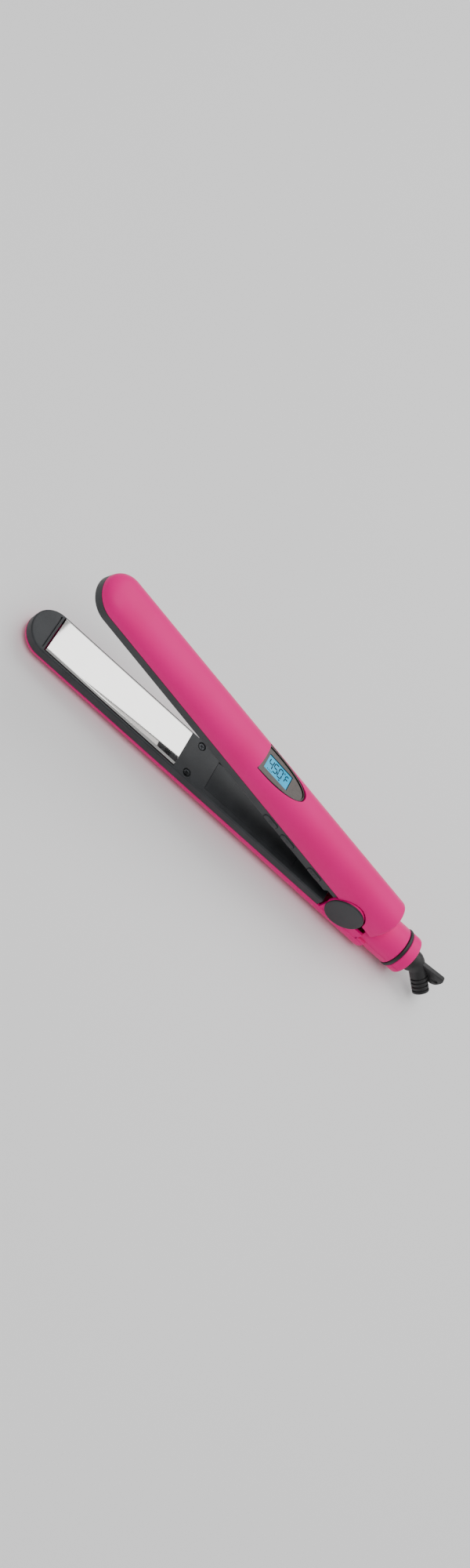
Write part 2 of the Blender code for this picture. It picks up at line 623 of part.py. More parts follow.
def upper_arm():
    """Everything that swings with the upper arm."""
    upper_shell()
    rear_x = -0.0140
    housing = inner_housing("upper_inner_housing", 1, UPPER, rear_x)
    step_edge(housing, rear_x)
    knuckle(housing)
    display()
    buttons(housing)
    screws("upper", 1, UPPER)
    cushions("upper", 1, UPPER)
    plate_set("upper", 1, UPPER)
    sensor = rod((PLATE_X[1] - 0.0085, 0.0, 0.0032), (PLATE_X[1] - 0.0030, 0.0, 0.0032), 0.0011, 16)
    add_part("thermistor", outward(sensor, 1), UPPER, (CERAMIC, 0.5))
    board = box((-0.108, -0.0085, 0.0086), (-0.024, 0.0085, 0.0098))
    add_part("control_board", outward(board, 1), UPPER, (BOARD, 0.5))


# Cord swivel ------------------------------------------------------------------------------------
def relief_spine(steps=6):
    """Stations of the strain relief's middle line: (distance along X, distance sideways, angle)."""
    points = [(0.0, 0.0, 0.0), (RELIEF_STRAIGHT, 0.0, 0.0)]
    for step in range(1, steps + 1):
        angle = RELIEF_BEND * step / steps
        points.append((RELIEF_STRAIGHT + RELIEF_SWEEP * math.sin(angle),
                       RELIEF_SWEEP * (1 - math.cos(angle)), angle))
    return points


def relief_rings():
    """Stations of the strain relief's skin: (place along, place sideways, angle, radius)."""
    rings = []
    spine = relief_spine()
    for index, (along, sideways, angle) in enumerate(spine):
        blend = index / (len(spine) - 1)
        rings.append((along, sideways, angle, STUB_RADIUS + (RELIEF_RADIUS - STUB_RADIUS) * blend))
    along, sideways, angle = spine[-1]
    reach = RIB_START
    for _ in range(RIB_COUNT):
        for step, radius in ((0.0000, RELIEF_RADIUS), (0.0002, RELIEF_RADIUS - RIB_GROOVE),
                             (0.0010, RELIEF_RADIUS - RIB_GROOVE), (0.0012, RELIEF_RADIUS)):
            rings.append((along + (reach + step) * math.cos(angle),
                          sideways + (reach + step) * math.sin(angle), angle, radius))
        reach += RIB_PITCH
    rings.append((along + reach * math.cos(angle), sideways + reach * math.sin(angle), angle,
                  RELIEF_RADIUS - 0.0004))
    return rings


def strain_relief():
    """Rubber elbow with ribs, an open cord bore and a flat loop to hang the iron by."""
    bm = bmesh.new()
    roll = Matrix.Rotation(-RELIEF_ROLL, 4, "X")
    start = Matrix.Translation((NECK_X[1] + 0.0004, 0.0, NECK_Z)) @ roll
    loops = []
    for along, sideways, angle, radius in relief_rings():
        place = start @ Matrix.Translation((along, 0.0, -sideways)) @ Matrix.Rotation(angle, 4, "Y")
        place = place @ Matrix.Rotation(math.pi / 2, 4, "Y")
        made = bmesh.ops.create_circle(bm, cap_ends=False, segments=24, radius=radius, matrix=place)
        loops.append(made["verts"])
    for loop, following in zip(loops, loops[1:]):
        for index, corner in enumerate(loop):
            nxt = (index + 1) % len(loop)
            bm.faces.new((corner, loop[nxt], following[nxt], following[index]))
    bm.faces.new(loops[0])
    bm.faces.new(loops[-1])
    bmesh.ops.recalc_face_normals(bm, faces=bm.faces)
    item = add_part("strain_relief", bm, LOWER, (RUBBER, 0.55))
    stand = Matrix.Rotation(math.pi / 2, 4, "X")
    upright = Matrix.Translation((NECK_X[1], LOOP_THICKNESS / 2, NECK_Z)) @ stand
    shape(item, prism(LOOP_OUTLINE, LOOP_THICKNESS, upright), LOWER, "UNION")
    slot_x, slot_z = NECK_X[1] + LOOP_SLOT_AT[0], NECK_Z + LOOP_SLOT_AT[1]
    slot = Matrix.Translation((slot_x, LOOP_THICKNESS, slot_z)) @ stand
    shape(item, prism(stadium(*LOOP_SLOT), 2 * LOOP_THICKNESS, slot), LOWER, "DIFFERENCE")
    along, sideways, angle, _ = relief_rings()[-1]
    mouth = start @ Vector((along, 0.0, -sideways))
    inwards = (start.to_3x3() @ Vector((-math.cos(angle), 0.0, math.sin(angle)))).normalized()
    bore = rod(mouth - inwards * 0.002, mouth + inwards * CORD_BORE_DEPTH, CORD_BORE, 20)
    shape(item, bore, LOWER, "DIFFERENCE")


def swivel():
    """Spindle that turns in the collar, with its two contact rings."""
    end, mouth = NECK_X[1] + 0.0001, 0.0062
    profile = [(end, SPINDLE_BORE), (end, mouth), (FLANGE_X[1], mouth), (FLANGE_X[1], FLANGE_RADIUS),
               (FLANGE_X[0], FLANGE_RADIUS), (FLANGE_X[0], SPINDLE_RADIUS),
               (SPINDLE_X, SPINDLE_RADIUS), (SPINDLE_X, SPINDLE_BORE)]
    lathe("swivel_spindle", profile, LOWER, (BLACK, 0.5))
    for label, x in (("live", CONTACT_X[0]), ("neutral", CONTACT_X[1])):
        ring = band(x - 0.0009, x + 0.0009, 0.0037, 0.0046, 32)
        add_part(f"{label}_contact_ring", ring, LOWER, (BRASS, 0.25, 1.0))


lower_arm()
upper_arm()
strain_relief()
swivel()
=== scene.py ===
"""Looks of the flat iron: smooth shells, housings, plates, display, controls and cord swivel.

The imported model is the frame. Each arm's pieces are drawn in that arm's own frame, with H as the
height outwards from the plane where the two hot plates meet, and are then taken to the world.
"""
import json
import logging
import math
from dataclasses import dataclass, field
from enum import Enum
from typing import Callable, Iterable, Optional, Sequence, Union

import bmesh
import bpy
from mathutils import Matrix, Vector


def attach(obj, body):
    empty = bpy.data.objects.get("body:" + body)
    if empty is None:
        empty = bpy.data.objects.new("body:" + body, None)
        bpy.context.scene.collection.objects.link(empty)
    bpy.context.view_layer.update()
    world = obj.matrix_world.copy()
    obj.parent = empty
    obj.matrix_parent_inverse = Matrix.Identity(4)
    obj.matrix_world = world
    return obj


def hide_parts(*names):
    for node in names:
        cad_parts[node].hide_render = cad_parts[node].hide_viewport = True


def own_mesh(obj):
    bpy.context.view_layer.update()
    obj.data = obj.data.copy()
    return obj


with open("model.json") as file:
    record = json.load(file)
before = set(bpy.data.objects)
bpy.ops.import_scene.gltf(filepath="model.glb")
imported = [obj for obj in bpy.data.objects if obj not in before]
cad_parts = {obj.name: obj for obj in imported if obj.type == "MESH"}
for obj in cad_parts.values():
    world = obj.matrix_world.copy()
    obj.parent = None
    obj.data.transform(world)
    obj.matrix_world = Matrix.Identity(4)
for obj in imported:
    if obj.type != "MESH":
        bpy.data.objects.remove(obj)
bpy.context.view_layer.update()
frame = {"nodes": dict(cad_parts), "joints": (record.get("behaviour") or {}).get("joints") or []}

LOG = logging.getLogger("flat_iron")

OPENING = math.radians(12.8)
MATING_Z = -0.00293
ARM_HALF = 0.01432
TIP_X = -0.2465
HINGE_X = -0.020
POWER = 2.3
FACE_H = 0.00159
SEAM_H = 0.00769
LOWER_DEPTH = (0.0060, 0.0115)
UPPER_DEPTH = (0.0085, 0.0170)
LOWER_REAR_X, UPPER_REAR_X = 0.026, 0.0228
REAR_FILLET = 0.003
FLAT_DEPTH = 0.0005
LEVEL = math.atan2(LOWER_DEPTH[1] - LOWER_DEPTH[0], HINGE_X - TIP_X)
NECK_Z = -0.0085
NECK_RADIUS = 0.01275
NECK_END = 0.0535
PLATE_X = (-0.2312, -0.1343)
PLATE_HALF = 0.0127
SCREW_X, SCREW_Y = -0.12494, 0.01045
DISPLAY_X = (-0.1128, -0.0768)
DISPLAY_HALF = 0.0096
DISPLAY_Z = 0.0167
DISPLAY_TILT = math.radians(-5.0)
LCD_X, LCD_HALF = (-0.1090, -0.0898), 0.0046
PIN_HOLE = 0.0021
THROUGH = 0.02          # half the length of a cutter that passes right through an arm

SHARP = 0.5             # angle in radians past which an edge is sharp enough to be rounded

Number = Union[float, "Wire"]


class Side(Enum):
    """The two arms: which way H points, and the body that the arm's fixed pieces ride on."""

    LOWER = (-1.0, "lower_arm", -LEVEL)
    UPPER = (1.0, "upper_arm", OPENING - LEVEL)

    @property
    def sign(self) -> float:
        """Direction of H along the arm's own Z."""
        return self.value[0]

    @property
    def body(self) -> str:
        """Name of the CAD body."""
        return self.value[1]

    @property
    def label(self) -> str:
        """Prefix of the arm's node names."""
        return self.name.lower()

    def world(self) -> Matrix:
        """Matrix from the arm's frame, with the hinge axis at its origin, to the world."""
        pivot = next(joint for joint in frame["joints"] if joint["name"] == "arm_hinge")["pos_m"]
        return Matrix.Translation(Vector(pivot)) @ Matrix.Rotation(self.value[2], 4, "Y")


# Shader maths -----------------------------------------------------------------------------------
class Wire:
    """A shader socket that sums and products can be written with."""

    def __init__(self, tree: "Finish", socket: bpy.types.NodeSocket) -> None:
        """Keep the socket and the finish that it belongs to."""
        self.tree = tree
        self.socket = socket

    def _math(self, operation: str, first: Number, second: Number) -> "Wire":
        """Add one Math node.

        Args:
            operation: the node's operation.
            first: its first value or socket.
            second: its second value or socket.

        Returns:
            The node's output.
        """
        return self.tree.add("ShaderNodeMath", {"operation": operation}, {0: first, 1: second})

    def __add__(self, other: Number) -> "Wire":
        """Sum."""
        return self._math("ADD", self, other)

    __radd__ = __add__

    def __sub__(self, other: Number) -> "Wire":
        """Difference."""
        return self._math("SUBTRACT", self, other)

    def __rsub__(self, other: Number) -> "Wire":
        """Difference from a number."""
        return self._math("SUBTRACT", other, self)

    def __mul__(self, other: Number) -> "Wire":
        """Product."""
        return self._math("MULTIPLY", self, other)

    __rmul__ = __mul__

    def __gt__(self, other: Number) -> "Wire":
        """One where this is the greater, else zero."""
        return self._math("GREATER_THAN", self, other)


class Finish:
    """A procedural material, built from nodes round one Principled shader."""

    def __init__(self, name: str, roughness: float, metallic: float = 0.0, **constants: float) -> None:
        """Make the material.

        Args:
            name: the material's name.
            roughness: the shader's mean roughness.
            metallic: the shader's metallic value.
            constants: other shader sockets with the same value all over, with _ for a space.
        """
        self.material = bpy.data.materials.new(name)
        self.material.use_nodes = True
        self.tree = self.material.node_tree
        self.shader = self.tree.nodes["Principled BSDF"]
        self.shader.inputs["Roughness"].default_value = roughness
        self.shader.inputs["Metallic"].default_value = metallic
        for socket, value in constants.items():
            self.shader.inputs[socket.replace("_", " ")].default_value = value
        self.place = self.add("ShaderNodeTexCoord", {}, {}, "Object")

    def add(self, kind: str, settings: dict, inputs: dict, output: Union[int, str] = 0) -> Wire:
        """Add a node.

        Args:
            kind: the node's type.
            settings: its settings; "stops" is a ramp's list of (place, colour).
            inputs: values or wires of its sockets.
            output: the output that is wanted.

        Returns:
            That output.
        """
        node = self.tree.nodes.new(kind)
        for key, value in settings.items():
            if key != "stops":
                setattr(node, key, value)
                continue
            ramp = node.color_ramp
            for element, (place, colour) in zip(ramp.elements, value):
                element.position, element.color = place, (*colour, 1.0)
            for place, colour in value[2:]:
                ramp.elements.new(place).color = (*colour, 1.0)
        for key, value in inputs.items():
            if isinstance(value, Wire):
                self.tree.links.new(value.socket, node.inputs[key])
            else:
                node.inputs[key].default_value = value
        return Wire(self, node.outputs[output])

    def set(self, socket: str, wire: Wire) -> "Finish":
        """Feed a wire to one of the shader's sockets."""
        self.tree.links.new(wire.socket, self.shader.inputs[socket])
        return self

    def noise(self, size: float, detail: float = 2.0, stretch: Sequence[float] = (1, 1, 1)) -> Wire:
        """Noise from 0 to 1.

        Args:
            size: size of its blobs, in metres.
            detail: octaves.
            stretch: how much longer the blobs are along each axis.

        Returns:
            The noise's value.
        """
        place = self.place
        if tuple(stretch) != (1, 1, 1):
            scale = tuple(1.0 / value for value in stretch)
            place = self.add("ShaderNodeMapping", {}, {"Vector": place, "Scale": scale})
        return self.add("ShaderNodeTexNoise", {}, {"Vector": place, "Scale": 1.0 / size, "Detail": detail})

    def tint(self, low: Sequence[float], high: Sequence[float], wire: Wire) -> "Finish":
        """Colour the surface between two tones by a wire."""
        stops = [(0.35, tuple(low)), (0.65, tuple(high))]
        return self.set("Base Color", self.add("ShaderNodeValToRGB", {"stops": stops}, {0: wire}))

    def vary(self, roughness: float, spread: float, wire: Wire) -> "Finish":
        """Let the roughness vary round its mean by a wire."""
        return self.set("Roughness", (wire - 0.5) * spread + roughness)

    def emboss(self, wire: Wire, depth: float, strength: float = 1.0) -> "Finish":
        """Bump the surface by a wire, to a depth in metres."""
        bump = self.add("ShaderNodeBump", {}, {"Height": wire, "Distance": depth, "Strength": strength})
        return self.set("Normal", bump)


@dataclass(frozen=True)
class Lacquer:
    """The pink shells: an even satin colour with a very fine grain."""

    name: str
    tones: tuple
    roughness: float = 0.38
    specular: float = 0.12
    grain: float = 0.0006

    def make(self) -> bpy.types.Material:
        """Make the material.

        Returns:
            The material.
        """
        finish = Finish(self.name, self.roughness, Specular_IOR_Level=self.specular)
        fine = finish.noise(self.grain, 2.0)
        finish.tint(*self.tones, finish.noise(0.030, 3.0))
        return finish.vary(self.roughness, 0.08, fine).emboss(fine, 0.000004).material


@dataclass(frozen=True)
class Moulded:
    """A moulded surface with a fine even grain, and faint handling marks in its gloss."""

    name: str
    tones: tuple
    roughness: float
    grain: float
    depth: float

    def make(self) -> bpy.types.Material:
        """Make the material.

        Returns:
            The material.
        """
        finish = Finish(self.name + "_moulded", self.roughness, Specular_IOR_Level=0.4)
        fine = finish.noise(self.grain, 3.0)
        finish.tint(*self.tones, fine * 0.5 + finish.noise(0.012, 2.0) * 0.5)
        finish.vary(self.roughness, 0.16, finish.noise(0.006, 4.0)).emboss(fine, self.depth)
        return finish.material


@dataclass(frozen=True)
class Metal:
    """A metal surface polished along X, with fine lines in its colour, gloss and relief."""

    name: str
    tones: tuple
    roughness: float
    spread: float
    line: float = 0.00020
    stretch: float = 60.0

    def make(self) -> bpy.types.Material:
        """Make the material.

        Returns:
            The material.
        """
        finish = Finish(self.name + "_metal", self.roughness, 1.0)
        lines = finish.noise(self.line, 2.0, (self.stretch, 1, 1))
        finish.tint(*self.tones, lines).vary(self.roughness, self.spread, lines)
        return finish.emboss(lines, 0.0000006).material


@dataclass(frozen=True)
class Circuit:
    """A circuit board: solder mask with straight copper tracks under it."""

    name: str
    tones: tuple
    roughness: float = 0.35

    def make(self) -> bpy.types.Material:
        """Make the material.

        Returns:
            The material.
        """
        finish = Finish(self.name, self.roughness)
        tracks = finish.add("ShaderNodeTexWave", {"bands_direction": "Y", "wave_profile": "SAW"},
                            {"Vector": finish.place, "Scale": 320.0, "Distortion": 1.5,
                             "Detail Scale": 0.4})
        return finish.tint(*self.tones, (tracks > 0.6) * 0.5 + 0.25).emboss(tracks, 0.00002).material


@dataclass(frozen=True)
class Lit:
    """The lit display: brighter and greener in places, with a very fine grain."""

    name: str
    tones: tuple
    roughness: float = 0.25
    glow: float = 1.0

    def make(self) -> bpy.types.Material:
        """Make the material.

        Returns:
            The material.
        """
        finish = Finish(self.name, self.roughness, Emission_Strength=self.glow, Specular_IOR_Level=0.3)
        stops = [(0.30, self.tones[0]), (0.70, self.tones[1])]
        colour = finish.add("ShaderNodeValToRGB", {"stops": stops}, {0: finish.noise(0.020, 1.0)})
        finish.set("Base Color", colour).set("Emission Color", colour)
        return finish.emboss(finish.noise(0.0002), 0.000002).material


@dataclass(frozen=True)
class Matt:
    """A plain matt surface that varies slightly in tone."""

    name: str
    tones: tuple
    roughness: float
    blob: float
    specular: float

    def make(self) -> bpy.types.Material:
        """Make the material.

        Returns:
            The material.
        """
        finish = Finish(self.name, self.roughness, Specular_IOR_Level=self.specular)
        return finish.tint(*self.tones, finish.noise(self.blob)).material


class Look(Enum):
    """Every finish of the flat iron; tones are in linear light, the darker first."""

    PINK = Lacquer("pink_satin", ((0.840, 0.0, 0.212), (0.870, 0.0, 0.230)))
    HOUSING = Moulded("housing", ((0.021, 0.023, 0.026), (0.042, 0.045, 0.050)), 0.50, 0.00035, 0.000030)
    SATIN = Moulded("satin", ((0.015, 0.018, 0.021), (0.022, 0.025, 0.029)), 0.36, 0.00030, 0.000006)
    RUBBER = Moulded("rubber", ((0.015, 0.015, 0.016), (0.026, 0.026, 0.027)), 0.46, 0.00045, 0.000018)
    SILICONE = Moulded("silicone", ((0.30, 0.09, 0.06), (0.38, 0.13, 0.09)), 0.75, 0.0006, 0.000020)
    CERAMIC = Moulded("ceramic", ((0.72, 0.70, 0.64), (0.86, 0.84, 0.78)), 0.70, 0.0005, 0.000015)
    TITANIUM = Metal("titanium", ((0.86, 0.85, 0.83), (0.93, 0.92, 0.90)), 0.055, 0.03)
    STEEL = Metal("steel", ((0.42, 0.42, 0.43), (0.60, 0.60, 0.61)), 0.32, 0.15)
    SCREW = Metal("screw", ((0.020, 0.021, 0.023), (0.045, 0.047, 0.050)), 0.30, 0.15)
    GUNMETAL = Metal("gunmetal", ((0.070, 0.063, 0.060), (0.092, 0.083, 0.079)), 0.30, 0.10)
    BRASS = Metal("brass", ((0.60, 0.40, 0.14), (0.78, 0.56, 0.24)), 0.28, 0.15)
    BOARD = Circuit("circuit_board", ((0.010, 0.110, 0.045), (0.035, 0.210, 0.085)))
    LCD = Lit("lcd_lit", ((0.001, 0.240, 0.420), (0.008, 0.330, 0.530)))
    INK = Matt("lcd_ink", ((0.002, 0.006, 0.012), (0.003, 0.010, 0.018)), 0.45, 0.0010, 0.2)
    PAPER = Matt("paper", ((0.90, 0.90, 0.90), (0.93, 0.93, 0.93)), 0.9, 0.4, 0.5)


class Looks:
    """The materials of the finishes, each made once and shared."""

    def __init__(self) -> None:
        """Start with none made."""
        self.made: dict[Look, bpy.types.Material] = {}

    def __getitem__(self, look: Look) -> bpy.types.Material:
        """The material of a finish.

        Args:
            look: the finish.

        Returns:
            Its material, made at its first use.
        """
        if look not in self.made:
            self.made[look] = look.value.make()
        return self.made[look]


# Mesh tools -------------------------------------------------------------------------------------
def box(low: Sequence[float], high: Sequence[float]) -> bmesh.types.BMesh:
    """A box between two corners.

    Args:
        low: its lowest corner.
        high: its highest corner.

    Returns:
        The box.
    """
    bm = bmesh.new()
    low_corner, high_corner = Vector(low), Vector(high)
    size = Matrix.Diagonal((*(high_corner - low_corner), 1.0))
    bmesh.ops.create_cube(bm, size=1.0, matrix=Matrix.Translation((low_corner + high_corner) / 2) @ size)
    return bm


def rod(start: Sequence[float], end: Sequence[float], radius: float, end_radius: Optional[float] = None,
        segments: int = 48) -> bmesh.types.BMesh:
    """A cylinder or cone between two points.

    Args:
        start: middle of its first end.
        end: middle of its last end.
        radius: radius at the first end.
        end_radius: radius at the last end, if it is another.
        segments: sides.

    Returns:
        The cylinder or cone.
    """
    bm = bmesh.new()
    first, last = Vector(start), Vector(end)
    turn = (last - first).to_track_quat("Z", "Y").to_matrix().to_4x4()
    bmesh.ops.create_cone(bm, cap_ends=True, segments=segments, radius1=radius,
                          radius2=radius if end_radius is None else end_radius,
                          depth=(last - first).length,
                          matrix=Matrix.Translation((first + last) / 2) @ turn)
    return bm


def prism(outline: Sequence[tuple], depth: float, place: Matrix) -> bmesh.types.BMesh:
    """A flat outline raised by a depth and put in place.

    Args:
        outline: its corners, in order.
        depth: how far it is raised.
        place: matrix from the outline's plane.

    Returns:
        The closed prism.
    """
    bm = bmesh.new()
    bm.faces.new([bm.verts.new((x, y, 0.0)) for x, y in outline])
    raised = bmesh.ops.extrude_face_region(bm, geom=bm.faces[:])["geom"]
    tops = [part for part in raised if isinstance(part, bmesh.types.BMVert)]
    bmesh.ops.translate(bm, vec=(0.0, 0.0, depth), verts=tops)
    bmesh.ops.transform(bm, matrix=place, verts=bm.verts)
    bmesh.ops.recalc_face_normals(bm, faces=bm.faces)
    return bm


def turned(profile: Sequence[tuple], centre: Vector, axis: Vector, outwards: Vector,
           steps: int = 96) -> bmesh.types.BMesh:
    """A closed profile turned once about an axis.

    Args:
        profile: its (along, radius) points, in order.
        centre: point on the axis that the profile is measured from.
        axis: direction of the axis.
        outwards: direction of the radius.
        steps: steps of the turn.

    Returns:
        The closed shape.
    """
    bm = bmesh.new()
    loop = [bm.verts.new(centre + axis * along + outwards * radius) for along, radius in profile]
    edges = [bm.edges.new(pair) for pair in zip(loop, loop[1:] + loop[:1])]
    bmesh.ops.spin(bm, geom=loop + edges, cent=centre, axis=axis, angle=2 * math.pi, steps=steps,
                   use_merge=True)
    bmesh.ops.remove_doubles(bm, verts=bm.verts, dist=0.000001)
    bmesh.ops.recalc_face_normals(bm, faces=bm.faces)
    return bm


def soften(bm: bmesh.types.BMesh, width: float, chosen: Callable[[bmesh.types.BMEdge], bool],
           segments: int = 3) -> bmesh.types.BMesh:
    """Round the sharp edges that a test chooses.

    Args:
        bm: the shape, which is changed.
        width: width of the rounding.
        chosen: says whether an edge is rounded.
        segments: steps of the rounding.

    Returns:
        The same shape.
    """
    edges = [edge for edge in bm.edges if edge.is_manifold and edge.calc_face_angle(0.0) > SHARP
             and chosen(edge)]
    bmesh.ops.bevel(bm, geom=edges, offset=width, segments=segments, profile=0.5, affect="EDGES",
                    material=-1, clamp_overlap=True)
    return bm


def every_edge(_edge: bmesh.types.BMEdge) -> bool:
    """Choose every edge."""
    return True


def stadium(length: float, width: float, steps: int = 20) -> list[tuple]:
    """Outline of a slot with round ends, lengthwise along X.

    Args:
        length: length over its ends.
        width: its width.
        steps: steps of each round end.

    Returns:
        Its corners, in order.
    """
    radius = width / 2
    middle = length / 2 - radius
    turns = [math.pi * step / steps - math.pi / 2 for step in range(steps + 1)]
    right = [(middle + radius * math.cos(a), radius * math.sin(a)) for a in turns]
    return right + [(-x, -y) for x, y in right]


def evaluated(item: bpy.types.Object) -> bpy.types.Mesh:
    """The mesh that an object's modifiers make.

    Args:
        item: the object.

    Returns:
        A new mesh.
    """
    bpy.context.view_layer.update()
    graph = bpy.context.evaluated_depsgraph_get()
    return bpy.data.meshes.new_from_object(item.evaluated_get(graph))


@dataclass
class Carving:
    """A solid with a wall, cuts and joined shapes, worked out by modifiers and then made one mesh."""

    body: bmesh.types.BMesh
    wall: float = 0.0
    tools: list = field(default_factory=list)

    def cut(self, *tools: bmesh.types.BMesh) -> "Carving":
        """Take these shapes away."""
        self.tools += [(tool, "DIFFERENCE") for tool in tools]
        return self

    def join(self, *tools: bmesh.types.BMesh) -> "Carving":
        """Join these shapes to the solid."""
        self.tools += [(tool, "UNION") for tool in tools]
        return self

    def result(self) -> bmesh.types.BMesh:
        """Work the shape out.

        Returns:
            The finished shape.
        """
        scratch = []

        def hold(bm: bmesh.types.BMesh) -> bpy.types.Object:
            """Put a shape in a scratch object.

            Args:
                bm: the shape, which is freed.

            Returns:
                The object.
            """
            mesh = bpy.data.meshes.new("scratch")
            bm.to_mesh(mesh)
            bm.free()
            item = bpy.data.objects.new("scratch", mesh)
            bpy.context.scene.collection.objects.link(item)
            scratch.append(item)
            return item

        base = hold(self.body)
        if self.wall:
            solid = base.modifiers.new("wall", "SOLIDIFY")
            solid.thickness, solid.offset = self.wall, -1.0
        for tool, operation in self.tools:
            modifier = base.modifiers.new("carve", "BOOLEAN")
            modifier.operation, modifier.object = operation, hold(tool)
        mesh = evaluated(base)
        bm = bmesh.new()
        bm.from_mesh(mesh)
        bmesh.ops.remove_doubles(bm, verts=bm.verts, dist=0.0000005)
        bpy.data.meshes.remove(mesh)
        for item in scratch:
            bpy.data.objects.remove(item, do_unlink=True)
        return bm


@dataclass
class Workshop:
    """Makes finished pieces: places their mesh, dresses them and hangs them on a body."""

    looks: Looks

    def piece(self, name: str, bm: bmesh.types.BMesh, place: Matrix, look: Look, body: str, slot: str,
              nodes: Iterable[str] = (), sharp_deg: float = 32.0) -> bpy.types.Object:
        """Make a piece.

        Args:
            name: the piece's name.
            bm: its mesh, in its own frame.
            place: matrix to the world.
            look: its finish.
            body: CAD body that it rides on.
            slot: material slot of the record; not used.
            nodes: CAD nodes that it stands for.
            sharp_deg: edges sharper than this stay sharp.

        Returns:
            The piece's object.
        """
        bmesh.ops.transform(bm, matrix=place, verts=bm.verts)
        bmesh.ops.triangulate(bm, faces=[face for face in bm.faces if len(face.verts) > 4])
        mesh = bpy.data.meshes.new(name)
        bm.to_mesh(mesh)
        bm.free()
        mesh.materials.append(self.looks[look])
        mesh.shade_smooth()
        mesh.set_sharp_from_angle(angle=math.radians(sharp_deg))
        item = bpy.data.objects.new(name, mesh)
        bpy.context.scene.collection.objects.link(item)
        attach(item, body)
        if nodes:
            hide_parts(*nodes)
        LOG.info("%s: %d faces on %s", name, len(mesh.polygons), body)
        return item

    def dress(self, look: Look, *nodes: str) -> None:
        """Give CAD nodes that stay a finish.

        Args:
            look: the finish.
            nodes: names of the nodes.
        """
        for node in nodes:
            item = frame["nodes"][node]
            item.data.materials.clear()
            item.data.materials.append(self.looks[look])


def outward(bm: bmesh.types.BMesh, side: Side) -> bmesh.types.BMesh:
    """Take a shape drawn in X, Y and H to an arm's own frame.

    Args:
        bm: the shape, which is changed.
        side: the arm.

    Returns:
        The same shape.
    """
    bmesh.ops.scale(bm, vec=(1.0, 1.0, side.sign), verts=bm.verts)
    bmesh.ops.translate(bm, vec=(0.0, 0.0, MATING_Z), verts=bm.verts)
    if side.sign < 0:
        bmesh.ops.reverse_faces(bm, faces=bm.faces)
    return bm


# Outer shells -----------------------------------------------------------------------------------
@dataclass
class ShellSkin:
    """Skin of an arm: a full half-ellipse swept along the arm, round at the tip."""

    depths: tuple
    rear_x: float
    fillet: float
    flat: float
    across: int = 56
    nose_rows: int = 26
    straight_rows: int = 22
    rear_rows: int = 8
    nose_fullness: float = 0.8

    def depth(self, x: float) -> float:
        """Depth of the shell past the seam at a station."""
        tip, hinge = self.depths
        return tip + (hinge - tip) * (x - TIP_X) / (HINGE_X - TIP_X)

    def section(self) -> list[tuple]:
        """Half of a full ellipse of unit size.

        Returns:
            Its points (across, rise), from one side over the crown to the other.
        """
        points = []
        for step in range(self.across + 1):
            angle = math.pi * step / self.across
            across, rise = math.cos(angle), max(math.sin(angle), 0.0)
            points.append((math.copysign(abs(across) ** (2 / POWER), across), rise ** (2 / POWER)))
        return points

    def stations(self) -> list[tuple]:
        """Stations along the arm.

        Returns:
            For each its X, width factor and depth factor.
        """
        rows = []
        for step in range(self.nose_rows):
            angle = math.pi / 2 * (1 - step / self.nose_rows)
            wide = math.cos(angle)
            rows.append((TIP_X + ARM_HALF * (1 - math.sin(angle)), wide, wide ** self.nose_fullness))
        start, end = TIP_X + ARM_HALF, self.rear_x - self.fillet
        rows += [(start + (end - start) * step / self.straight_rows, 1.0, 1.0)
                 for step in range(self.straight_rows + 1)]
        for step in range(1, self.rear_rows + 1):
            angle = math.pi / 2 * step / self.rear_rows
            shrink = 1 - self.fillet * (1 - math.cos(angle)) / ARM_HALF
            rows.append((end + self.fillet * math.sin(angle), shrink, shrink))
        return rows + [(self.rear_x, 0.0, 0.0)]

    def build(self, side: Side) -> bmesh.types.BMesh:
        """Sweep the section along the stations by extruding its edges.

        Args:
            side: the arm.

        Returns:
            The open skin, in the arm's frame.
        """
        bm = bmesh.new()
        section = self.section()
        row = [bm.verts.new((TIP_X, 0.0, SEAM_H)) for _ in section]
        edges = [bm.edges.new(pair) for pair in zip(row, row[1:])]
        for x, wide, deep in self.stations():
            made = bmesh.ops.extrude_edge_only(bm, edges=edges)["geom"]
            edges = [part for part in made if isinstance(part, bmesh.types.BMEdge)]
            fresh = {vert for edge in edges for vert in edge.verts}
            row = [next(edge.other_vert(corner) for edge in corner.link_edges
                        if edge.other_vert(corner) in fresh) for corner in row]
            depth = self.depth(x)
            for vert, (y, h) in zip(row, section):
                vert.co = (x, ARM_HALF * wide * y, SEAM_H + min(depth * deep * h, depth - self.flat))
        bmesh.ops.remove_doubles(bm, verts=bm.verts, dist=0.000001)
        bmesh.ops.recalc_face_normals(bm, faces=bm.faces)
        if sum(face.normal.z * face.calc_area() for face in bm.faces) < 0:
            bmesh.ops.reverse_faces(bm, faces=bm.faces)
        return outward(bm, side)


def neck_rod(start: float, end: float, radius: float) -> bmesh.types.BMesh:
    """A cylinder on the neck's axis."""
    return rod((start, 0.0, NECK_Z), (end, 0.0, NECK_Z), radius, segments=96)


def neck_ring(profile: Sequence[tuple]) -> bmesh.types.BMesh:
    """A profile of (X, radius) points turned about the neck's axis."""
    return turned(profile, Vector((0.0, 0.0, NECK_Z)), Vector((1, 0, 0)), Vector((0, 0, 1)))


